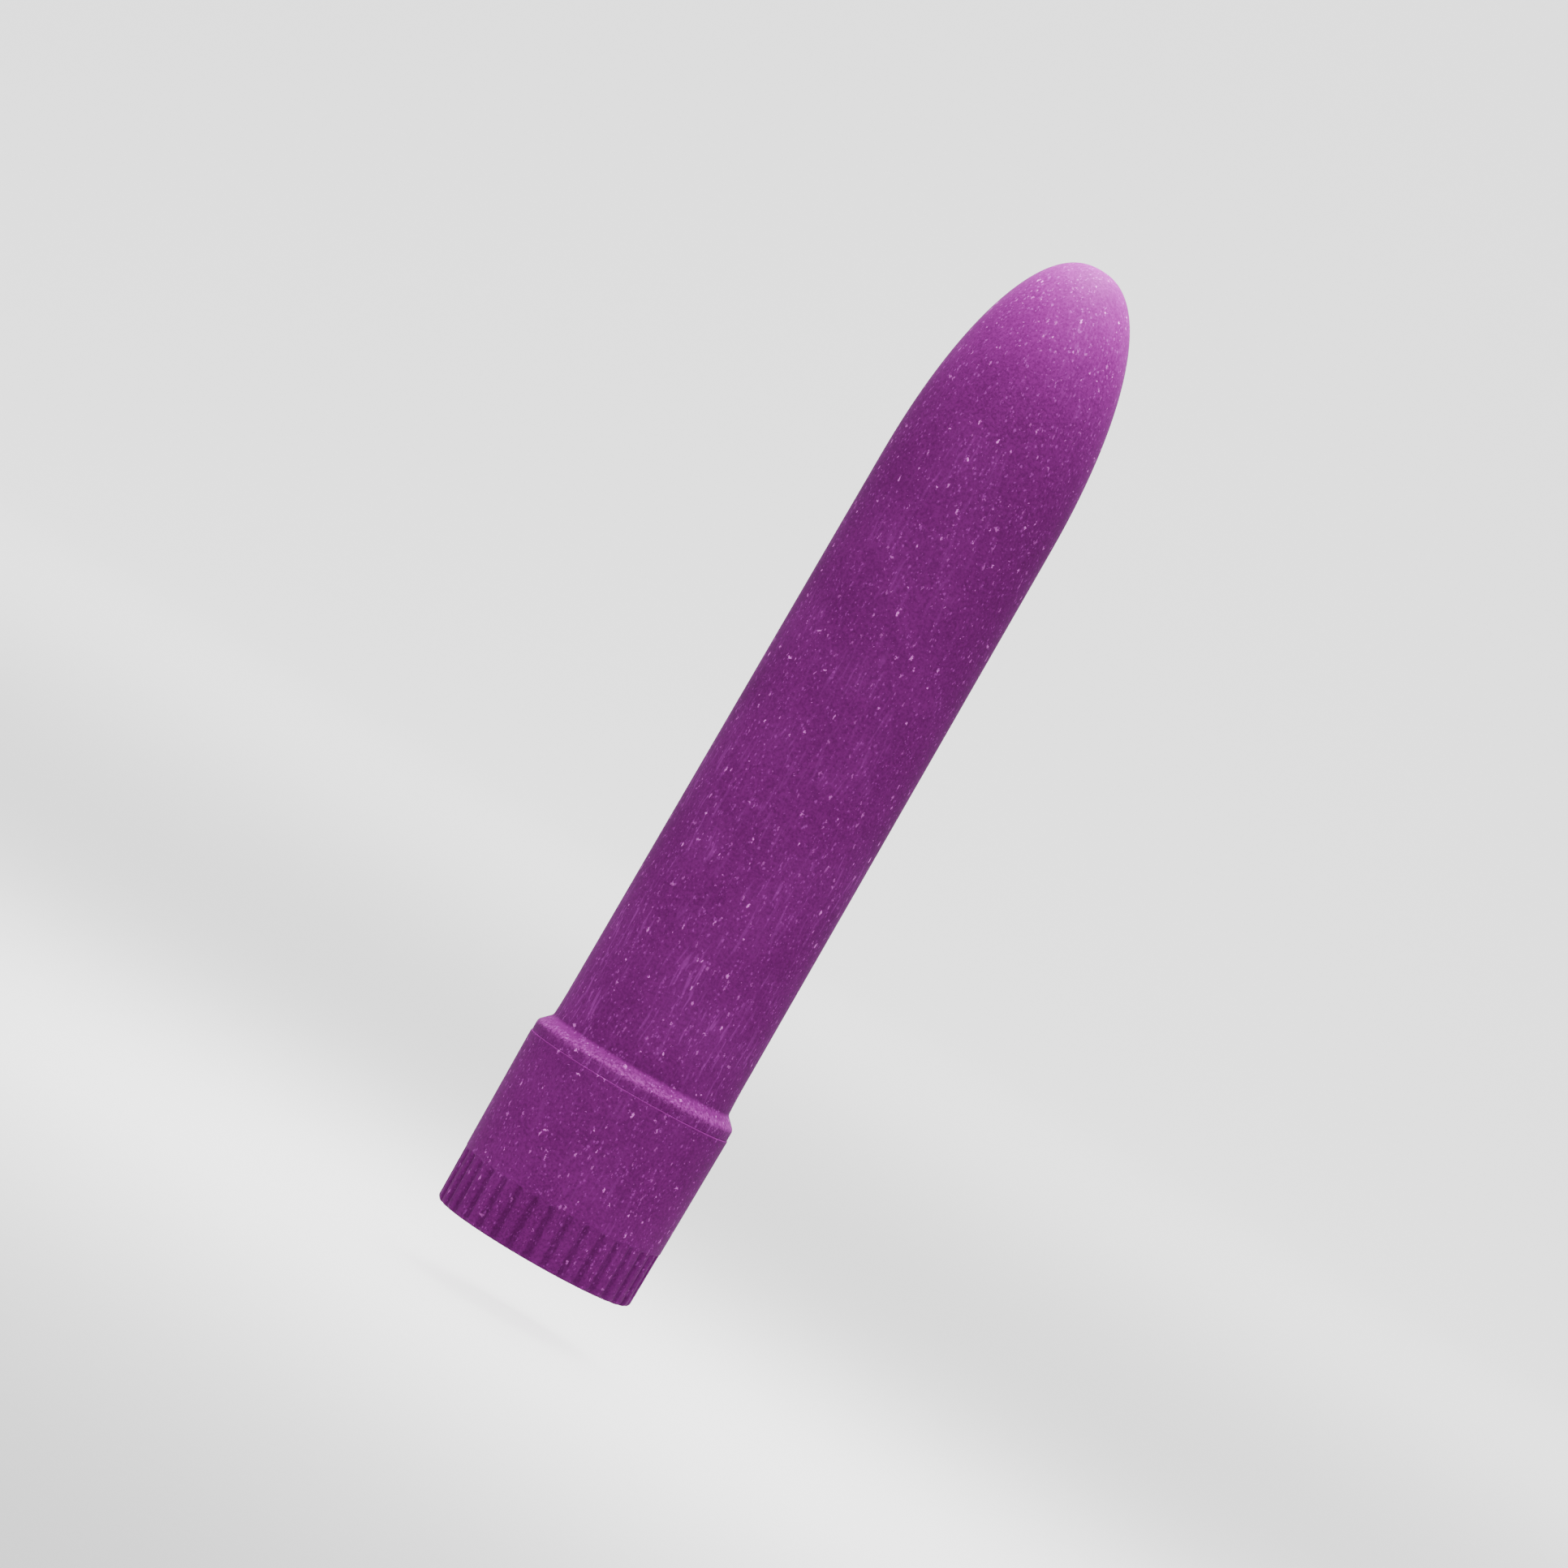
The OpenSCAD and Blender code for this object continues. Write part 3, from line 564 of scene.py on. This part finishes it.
def plain_plastic(name, colour, rough=0.5, spread=0.16):
    """Unpainted moulding with uneven tone and a fine grain."""
    m, tree, shader, at = new_material(name)
    mott = place_group(tree, "mottle", at, Coarse=160.0, Fine=1700.0)
    dark = [c * (1 - spread) for c in colour]
    tree.links.new(blend_colour(tree, mott["Tone"], dark, colour), shader.inputs["Base Color"])
    finish = remap(tree, mott["Grain"], 0.3, 0.7, rough - 0.05, rough + 0.07)
    tree.links.new(finish, shader.inputs["Roughness"])
    bump(tree, shader, mott["Grain"], 0.00001, 0.4)
    return m


def worked_metal(name, colour, rough=0.3, stretch=(1.0, 1.0, 0.05), stain=0.25, lines=2500.0):
    """Drawn, turned or stamped metal with fine lines and a slight stain."""
    m, tree, shader, at = new_material(name)
    b = place_group(tree, "brushed", at, Lines=lines, Stretch=stretch)
    dull = [c * (1 - stain) for c in colour]
    tree.links.new(blend_colour(tree, b["Stain"], colour, dull), shader.inputs["Base Color"])
    shader.inputs["Metallic"].default_value = 1.0
    finish = remap(tree, b["Line"], 0.3, 0.7, rough - 0.08, rough + 0.12)
    tree.links.new(finish, shader.inputs["Roughness"])
    bump(tree, shader, b["Line"], 0.000008, 0.4)
    return m


def banded_sleeve(name, colour, band, low, high):
    """Printed cell sleeve: plain, with one coloured band between two heights and no lettering."""
    m, tree, shader, at = new_material(name)
    mott = place_group(tree, "mottle", at, Coarse=120.0, Fine=1600.0)
    split = tree.nodes.new("ShaderNodeSeparateXYZ")
    tree.links.new(at, split.inputs[0])
    inside = maths(tree, "MULTIPLY", maths(tree, "GREATER_THAN", split.outputs["Z"], low),
                   maths(tree, "LESS_THAN", split.outputs["Z"], high))
    dark = [c * 0.85 for c in colour]
    base = blend_colour(tree, mott["Tone"], dark, colour)
    tree.links.new(blend_colour(tree, inside, base, band), shader.inputs["Base Color"])
    tree.links.new(remap(tree, mott["Grain"], 0.3, 0.7, 0.22, 0.32), shader.inputs["Roughness"])
    bump(tree, shader, mott["Grain"], 0.000006, 0.3)
    return m


def dress(material, *nodes):
    """Give CAD nodes a finished material in every slot they have."""
    for n in nodes:
        data = frame["nodes"][n].data
        if not data.materials:
            data.materials.append(material)
        for k in range(len(data.materials)):
            data.materials[k] = material


# ---------------------------------------------------------------- pieces

class MASSAGER_OT_casing(bpy.types.Operator):
    """Turn the casing: threaded neck, shoulder bead, drafted barrel and rounded nose"""
    bl_idname = "massager.casing"
    bl_label = "Casing"

    def execute(self, context):
        s = context.scene.massager_sizes
        c = context.scene.massager_colours
        top_r = s.barrel_r - s.draft
        bore = top_r - s.wall
        neck = bore + s.neck_wall
        start = TIP - s.nose_l
        seam_z = CAP_TOP + s.seam
        foot_r = s.barrel_r + FOOT_FLARE
        k = math.cos(math.pi / 4)
        z1 = BEAD_FOOT + s.bead_h
        run = (BEAD_R - s.bead_corner * (1 - k)) - (foot_r + s.bead_fillet * (1 - k))
        z3 = z1 + k * (s.bead_corner + s.bead_fillet) + run
        e = s.seam_edge
        inner = nose(bore, s.nose_l - s.wall, start, s.nose_p, s.nose_q, 28)
        path = list(reversed(inner)) + [(bore, start), (bore, seam_z), (bore, NECK_FOOT + LIP_IN)]
        path += corner(bore + LIP_IN, NECK_FOOT + LIP_IN, LIP_IN, 180, 270, 3)[1:]
        path += corner(neck - LIP_OUT, NECK_FOOT + LIP_OUT, LIP_OUT, -90, 0, 4)
        path += [(neck, seam_z - 0.01 * MM), (neck + 0.01 * MM, seam_z), (BEAD_R - e, seam_z)]
        path += corner(BEAD_R - e, seam_z + e, e, -90, 0, 4)[1:]
        path += [(BEAD_R, z1)]
        path += corner(BEAD_R - s.bead_corner, z1, s.bead_corner, 0, 45, 10)[1:]
        path += corner(foot_r + s.bead_fillet, z3, s.bead_fillet, 225, 180, 10)
        z4 = z3 + FLARE_L
        for i in range(1, 6):
            t = i / 5
            narrowed = (s.barrel_r - foot_r) * (1 - (1 - t) ** 2)
            path.append((foot_r + narrowed, z3 + (z4 - z3) * t))
        for i in range(1, 9):
            t = i / 8
            path.append((s.barrel_r - s.draft * t, z4 + (start - z4) * t))
        outer = nose(top_r, s.nose_l, start, s.nose_p, s.nose_q, 56)
        path += outer
        inner_rise = (start + s.nose_l - s.wall) - inner[-1][1]
        shell = turned("casing_shell", path, 256, inner_rise, TIP - outer[-1][1])
        smooth(shell, 38)

        clear_selection()
        half = 0.75 * MM
        mid = neck + 0.1 * MM
        centre = (mid, 0, THREAD_Z)
        bpy.ops.mesh.primitive_plane_add(size=1, location=centre, rotation=(math.pi / 2, 0, 0))
        ridge = context.object
        ridge.name = "neck_thread"
        bpy.ops.object.transform_apply(location=True, rotation=True, scale=True)
        edit(ridge)
        bpy.ops.mesh.select_all(action="SELECT")
        bpy.ops.transform.resize(value=(1.0 * MM, 1, half * 2), center_override=centre)
        choose(ridge, lambda v: v.x > mid)
        bpy.ops.transform.resize(value=(1, 1, THREAD_CREST), center_override=centre)
        bpy.ops.mesh.select_all(action="SELECT")
        bpy.ops.mesh.delete(type="ONLY_FACE")
        bpy.ops.object.mode_set(mode="OBJECT")
        screw = ridge.modifiers.new("Thread", "SCREW")
        screw.axis = "Z"
        screw.angle = math.radians(360 * THREAD_TURNS)
        screw.screw_offset = s.pitch * THREAD_TURNS
        screw.steps = 144
        screw.render_steps = 144
        screw.use_merge_vertices = False
        apply_modifiers(ridge)
        edit(ridge)
        bpy.ops.mesh.select_mode(type="EDGE")
        bpy.ops.mesh.select_all(action="DESELECT")
        bpy.ops.mesh.select_non_manifold()
        bpy.ops.mesh.fill()
        bpy.ops.mesh.select_all(action="SELECT")
        bpy.ops.mesh.normals_make_consistent(inside=False)
        bpy.ops.object.mode_set(mode="OBJECT")
        smooth(ridge, 30)
        join(shell, ridge)
        shell.data.materials.clear()
        shell.data.materials.append(glitter_plastic(
            "casing glitter plastic", c,
            flow_low=0.045, flow_high=0.125, flow_floor=0.45, streaks=0.42,
            # painted highlight along the shoulder bead's upper flank
            shoulder_highlight=(z1 - 0.5 * MM, z1 + 1.75 * MM, foot_r + 0.1 * MM, foot_r + 0.6 * MM)))
        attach(shell, "casing_body")
        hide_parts("casing")
        return {"FINISHED"}


class MASSAGER_OT_twist_cap(bpy.types.Operator):
    """Turn the cap, press the grip grooves into it and add its wiper seat and stop peg"""
    bl_idname = "massager.twist_cap"
    bl_label = "Twist cap"

    def execute(self, context):
        s = context.scene.massager_sizes
        c = context.scene.massager_colours
        per = 16
        sides = s.groove_count * per
        base_r = CAP_TOP_R - s.cap_draft
        bore = CARRIER_BOX[1].x - SNAP_BEAD + CAP_PLAY
        well = bore - 0.8 * MM
        e = s.seam_edge

        def side_r(z):
            return base_r + s.cap_draft * (z - s.base_edge) / (CAP_TOP - s.base_edge)

        grip = [s.base_edge, 2.2 * MM, 4.4 * MM, 6.4 * MM, 8.4 * MM, 9.0 * MM, 9.2 * MM,
                9.3 * MM, 9.4 * MM, 9.5 * MM, s.groove_h]
        foot_r = base_r - s.grip_step
        path = [(POLE_R, 0.0), (8 * MM, 0.0), (foot_r - s.base_edge, 0.0)]
        path += corner(foot_r - s.base_edge, s.base_edge, s.base_edge, -90, 0, 8)[1:-1]
        path += [(side_r(z) - s.grip_step, z) for z in grip]
        path += [(side_r(s.groove_h + s.grip_step), s.groove_h + s.grip_step)]
        path += [(side_r(z), z)
                 for z in (12 * MM, 16 * MM, 20 * MM, 24 * MM, 28 * MM, CAP_TOP - e)]
        path += corner(CAP_TOP_R - e, CAP_TOP - e, e, 0, 90, 4)[1:]
        path += [(bore + e, CAP_TOP), (bore, CAP_TOP - e), (bore, SNAP_TOP),
                 (bore + SNAP_D, SNAP_TOP), (bore + SNAP_D, SNAP_FOOT), (bore, SNAP_FOOT),
                 (bore, CARRIER_FOOT - SHELF_GAP), (well, CARRIER_FOOT - SHELF_GAP),
                 (well, CAP_FLOOR + 0.3 * MM), (well - 0.3 * MM, CAP_FLOOR), (POLE_R, CAP_FLOOR)]
        cap = turned("cap_shell", path, sides, 0.0, 0.0)

        edit(cap)
        bm = bmesh.from_edit_mesh(cap.data)
        bm.verts.ensure_lookup_table()
        rows = {}
        step = 2 * math.pi / sides
        for v in bm.verts:
            r = math.hypot(v.co.x, v.co.y)
            if r < base_r - s.base_edge * 0.9 or v.co.z > s.groove_h + 1e-6 or v.co.z < 1e-7:
                continue
            turn = round(math.atan2(v.co.y, v.co.x) / step) % per
            away = min(turn, per - turn)
            rows.setdefault((round(v.co.z * 1e7), away), []).append(v.index)
        across = {0: 1.0, 1: 0.96, 2: 0.80, 3: 0.50, 4: 0.22, 5: 0.06}
        pressed = 0
        for (zkey, away), indices in rows.items():
            z = zkey * 1e-7
            share = across.get(away, 0.0)
            fade = min(1.0, max(0.0, (s.groove_h - z) / GROOVE_FADE))
            fade = fade * fade * (3 - 2 * fade)
            depth = s.groove_d * share * fade
            if depth < 1e-7:
                continue
            bpy.ops.mesh.select_all(action="DESELECT")
            bm = bmesh.from_edit_mesh(cap.data)
            bm.verts.ensure_lookup_table()
            for k in indices:
                bm.verts[k].select = True
            r = math.hypot(bm.verts[indices[0]].co.x, bm.verts[indices[0]].co.y)
            bmesh.update_edit_mesh(cap.data)
            f = (r - depth) / r
            bpy.ops.transform.resize(value=(f, f, 1), center_override=(0, 0, 0))
            pressed += 1
        if pressed < 20:
            raise RuntimeError("the grip grooves were not pressed")
        bpy.ops.object.mode_set(mode="OBJECT")
        smooth(cap, 40)

        clear_selection()
        bpy.ops.mesh.primitive_cube_add(
            size=1, location=(0, 0, 2.6 * MM), scale=(12 * MM, 4.4 * MM, 1.2 * MM))
        seat = context.object
        seat.name = "wiper_seat"
        bpy.ops.object.transform_apply(location=True, rotation=True, scale=True)
        soft = seat.modifiers.new("Edge", "BEVEL")
        soft.width = 0.15 * MM
        soft.segments = 2
        apply_modifiers(seat)

        clear_selection()
        r0, r1 = well - 2.2 * MM, well - 0.4 * MM
        z0, z1 = CAP_FLOOR - 0.1 * MM, CARRIER_FOOT - 0.4 * MM
        centre = ((r0 + r1) / 2, 0, (z0 + z1) / 2)
        bpy.ops.mesh.primitive_plane_add(size=1, location=centre, rotation=(math.pi / 2, 0, 0))
        peg = context.object
        peg.name = "stop_peg"
        bpy.ops.object.transform_apply(location=True, rotation=True, scale=True)
        edit(peg)
        bpy.ops.mesh.select_all(action="SELECT")
        bpy.ops.transform.resize(value=(r1 - r0, 1, z1 - z0), center_override=centre)
        bpy.ops.mesh.spin(steps=12, angle=math.radians(24), center=(0, 0, 0), axis=(0, 0, 1))
        bpy.ops.mesh.select_all(action="SELECT")
        bpy.ops.mesh.remove_doubles(threshold=1e-7)
        bpy.ops.mesh.normals_make_consistent(inside=False)
        bpy.ops.object.mode_set(mode="OBJECT")
        # the spin can run either way round, and the peg has to end from -25 to -1 degrees
        ys = [v.co.y for v in peg.data.vertices]
        turn = math.radians(-1) if min(ys) < -1e-4 else math.radians(-25)
        peg.data.transform(Matrix.Rotation(turn, 4, "Z"))
        join(cap, seat, peg)
        cap.data.materials.clear()
        cap.data.materials.append(glitter_plastic(
            "cap glitter plastic", c,
            flow_low=0.0, flow_high=0.045, flow_floor=0.5, streaks=0.14,
            # painted shade on the grip band and in its groove bottoms
            grip=(s.groove_h + s.grip_step / 2, base_r - s.groove_d,
                  base_r - s.grip_step - 0.03 * MM)))
        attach(cap, "cap_body")
        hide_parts("twist_cap")
        return {"FINISHED"}


class MASSAGER_OT_inner_plastics(bpy.types.Operator):
    """Finish the carrier, motor end, bulkhead, motor mount and resistance ring"""
    bl_idname = "massager.inner_plastics"
    bl_label = "Inner plastics"

    def execute(self, context):
        dress(plain_plastic("natural white plastic", (0.44, 0.44, 0.40), 0.5, 0.26),
              "carrier", "motor_end")
        dress(plain_plastic("ivory plastic", (0.36, 0.32, 0.23), 0.55, 0.28),
              "bulkhead", "motor_mount")
        dress(plain_plastic("resistance track", (0.030, 0.027, 0.025), 0.38, 0.4),
              "resistance_ring")
        return {"FINISHED"}


class MASSAGER_OT_contacts(bpy.types.Operator):
    """Finish the springs, strips, rivets and contact plates"""
    bl_idname = "massager.contacts"
    bl_label = "Contacts"

    def execute(self, context):
        strip = worked_metal("rolled brass", (0.72, 0.50, 0.20), 0.30, (1.0, 1.0, 0.06))
        dress(strip, "contact_ring", "spring_plate", "wiper", "side_strip", "front_contact",
              "motor_brushes", "motor_terminals")
        dress(worked_metal("headed brass", (0.66, 0.45, 0.18), 0.26, (0.6, 0.6, 0.6), 0.2, 1800.0),
              "carrier_rivet", "wiper_rivets", "front_rivet")
        dress(worked_metal("spring wire", (0.60, 0.61, 0.63), 0.24, (1.0, 1.0, 1.0), 0.15, 3200.0),
              "contact_spring")
        return {"FINISHED"}


class MASSAGER_OT_cells(bpy.types.Operator):
    """Finish the two cells: can, core, banded sleeve, nub and seal"""
    bl_idname = "massager.cells"
    bl_label = "Cells"

    def execute(self, context):
        can = worked_metal("plated cell steel", (0.56, 0.57, 0.60), 0.28, (1.0, 1.0, 0.08), 0.2)
        core = plain_plastic("pressed black mix", (0.03, 0.03, 0.03), 0.8, 0.4)
        nub = worked_metal(
            "bright cell nub", (0.76, 0.77, 0.79), 0.16, (1.0, 1.0, 1.0), 0.1, 2000.0)
        seal = plain_plastic("black seal", (0.025, 0.025, 0.028), 0.5, 0.3)
        for end in ("rear", "front"):
            low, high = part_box("cell_" + end + "_sleeve")
            span = high.z - low.z
            band = banded_sleeve(
                "cell sleeve " + end, (0.030, 0.045, 0.070), (0.40, 0.14, 0.03),
                low.z + span * 0.72, low.z + span * 0.93)
            dress(band, "cell_" + end + "_sleeve")
            dress(can, "cell_" + end + "_can")
            dress(core, "cell_" + end + "_core")
            dress(nub, "cell_" + end + "_nub")
            dress(seal, "cell_" + end + "_seal")
        return {"FINISHED"}


class MASSAGER_OT_motor(bpy.types.Operator):
    """Finish the motor, its rotor, the eccentric weight and the two leads"""
    bl_idname = "massager.motor"
    bl_label = "Motor"

    def execute(self, context):
        metals = {
            "motor_can": ("motor can steel", (0.52, 0.53, 0.55), 0.34, (1.0, 1.0, 0.05), 0.25),
            "motor_shaft": ("ground shaft", (0.66, 0.67, 0.68), 0.18, (1.0, 1.0, 6.0), 0.1),
            "armature_core": (
                "stacked laminations", (0.26, 0.26, 0.27), 0.45, (0.05, 0.05, 2.0), 0.3),
            "eccentric_weight": (
                "cast weight", (0.42, 0.42, 0.44), 0.5, (0.5, 0.5, 0.5), 0.35, 900.0),
            "armature_winding": (
                "enamelled wire", (0.52, 0.19, 0.07), 0.24, (0.1, 0.1, 2.0), 0.3),
            "commutator": ("turned copper", (0.70, 0.36, 0.20), 0.24, (1.0, 1.0, 4.0), 0.2),
            "motor_bushes": (
                "sintered bronze", (0.50, 0.31, 0.15), 0.5, (0.7, 0.7, 0.7), 0.3, 1400.0),
        }
        plastics = {
            "motor_magnets": ("sintered magnet", (0.05, 0.05, 0.055), 0.6, 0.35),
            "positive_lead": ("red insulation", (0.36, 0.016, 0.016), 0.42, 0.2),
            "negative_lead": ("black insulation", (0.020, 0.020, 0.022), 0.42, 0.3),
        }
        for node, values in metals.items():
            dress(worked_metal(*values), node)
        for node, values in plastics.items():
            dress(plain_plastic(*values), node)
        return {"FINISHED"}


def area_light(name, place, aim, width, height, power, spread=180, shadow=True):
    clear_selection()
    bpy.ops.object.light_add(type="AREA", location=place)
    lamp = bpy.context.object
    lamp.name = name
    lamp.data.shape = "RECTANGLE"
    lamp.data.size = width
    lamp.data.size_y = height
    lamp.data.energy = power
    lamp.data.spread = math.radians(spread)
    lamp.data.use_shadow = shadow
    lamp.visible_camera = False
    lamp.rotation_euler = (Vector(aim) - Vector(place)).to_track_quat("-Z", "Y").to_euler()


class MASSAGER_OT_stage(bpy.types.Operator):
    """Set the pale floor just under the lowest the cap travels, the backdrop, lights and camera"""
    bl_idname = "massager.stage"
    bl_label = "Stage"

    def execute(self, context):
        s = context.scene.massager_sizes
        c = context.scene.massager_colours
        clear_selection()
        joints = frame["record"]["behaviour"]["joints"]
        travel = next(j for j in joints if j["name"] == "cap_travel")
        low = -travel["range_m"][1] - 0.1 * MM
        bpy.ops.mesh.primitive_plane_add(size=8, location=(0, 0, low))
        floor = context.object
        floor.name = "floor"
        bpy.ops.object.transform_apply(location=True, rotation=True, scale=True)
        edit(floor)
        bpy.ops.mesh.select_mode(type="EDGE")
        choose(floor, lambda v: v.y > 3.9)
        bpy.ops.mesh.extrude_region_move(TRANSFORM_OT_translate={"value": (0, 0, 4)})
        bpy.ops.object.mode_set(mode="OBJECT")
        bend = floor.modifiers.new("Sweep", "BEVEL")
        bend.width = 1.8
        bend.segments = 24
        apply_modifiers(floor)
        smooth(floor, 60)
        m, tree, shader, at = new_material("pale paper")
        mott = place_group(tree, "mottle", at, Coarse=4.0, Fine=180.0)
        pale = [v * 0.99 for v in c.floor]
        tree.links.new(blend_colour(tree, mott["Tone"], pale, c.floor), shader.inputs["Base Color"])
        shader.inputs["Roughness"].default_value = 0.9
        shader.inputs["Specular IOR Level"].default_value = 0.1
        floor.data.materials.append(m)

        world = bpy.data.worlds.new("studio")
        world.use_nodes = True
        sky = next(n for n in world.node_tree.nodes if n.type == "BACKGROUND")
        sky.inputs["Color"].default_value = (1, 1, 1, 1)
        sky.inputs["Strength"].default_value = 1.15
        context.scene.world = world
        middle = (0, 0, 0.09)
        area_light("top light", (0.0, 0.004, 0.29), (0, 0, 0.17), 0.08, 0.08, 3.45, shadow=False)
        area_light("high light", (0.30, -0.25, 1.9), (0, 0, 0.05), 1.4, 1.4, 8.0)
        area_light("front fill", (-0.3, -2.0, 0.7), middle, 1.6, 1.6, 13.0)
        area_light("backdrop wash", (0, 1.3, 1.95), (0, 2.9, 0.45), 2.6, 1.2, 160.0)
        area_light("upper fill", (-0.06, -0.5, 0.3), (0, 0, 0.128), 0.12, 0.12, 0.042, spread=28)

        lean = math.radians(30.03)
        sensor, distance, field = 36, 1.0, 0.2461
        el = s.tilt
        aim = Vector((-0.002645, 0, 0.0834))
        away = Vector((0, -math.cos(el), math.sin(el)))
        right0 = Vector((1, 0, 0))
        up0 = away.cross(right0)
        up = up0 * math.cos(lean) - right0 * math.sin(lean)
        right = up0 * math.sin(lean) + right0 * math.cos(lean)
        basis = Matrix((right, up, away)).transposed().to_4x4()
        clear_selection()
        bpy.ops.object.camera_add(location=aim + away * distance)
        cam = context.object
        cam.name = "view"
        cam.matrix_world = Matrix.Translation(aim + away * distance) @ basis
        cam.data.sensor_width = sensor
        cam.data.lens = sensor * distance / field
        cam.data.clip_end = 50
        cam.data.dof.use_dof = False
        context.scene.camera = cam
        return {"FINISHED"}


class MASSAGER_PT_panel(bpy.types.Panel):
    """Lists the pieces of the massager"""
    bl_idname = "MASSAGER_PT_panel"
    bl_label = "Twist-cap massager"
    bl_space_type = "VIEW_3D"
    bl_region_type = "UI"
    bl_category = "Massager"

    def draw(self, context):
        for op in OPERATORS:
            self.layout.operator(op.bl_idname)


OPERATORS = (
    MASSAGER_OT_casing, MASSAGER_OT_twist_cap, MASSAGER_OT_inner_plastics, MASSAGER_OT_contacts,
    MASSAGER_OT_cells, MASSAGER_OT_motor, MASSAGER_OT_stage,
)
CLASSES = (MassagerSizes, MassagerColours) + OPERATORS + (MASSAGER_PT_panel,)


def register():
    for cls in CLASSES:
        bpy.utils.register_class(cls)
    bpy.types.Scene.massager_sizes = PointerProperty(type=MassagerSizes)
    bpy.types.Scene.massager_colours = PointerProperty(type=MassagerColours)


def unregister():
    del bpy.types.Scene.massager_colours
    del bpy.types.Scene.massager_sizes
    for cls in reversed(CLASSES):
        bpy.utils.unregister_class(cls)


def main():
    register()
    bpy.ops.massager.casing()
    bpy.ops.massager.twist_cap()
    bpy.ops.massager.inner_plastics()
    bpy.ops.massager.contacts()
    bpy.ops.massager.cells()
    bpy.ops.massager.motor()
    bpy.ops.massager.stage()
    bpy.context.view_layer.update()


if __name__ == "__main__":
    main()
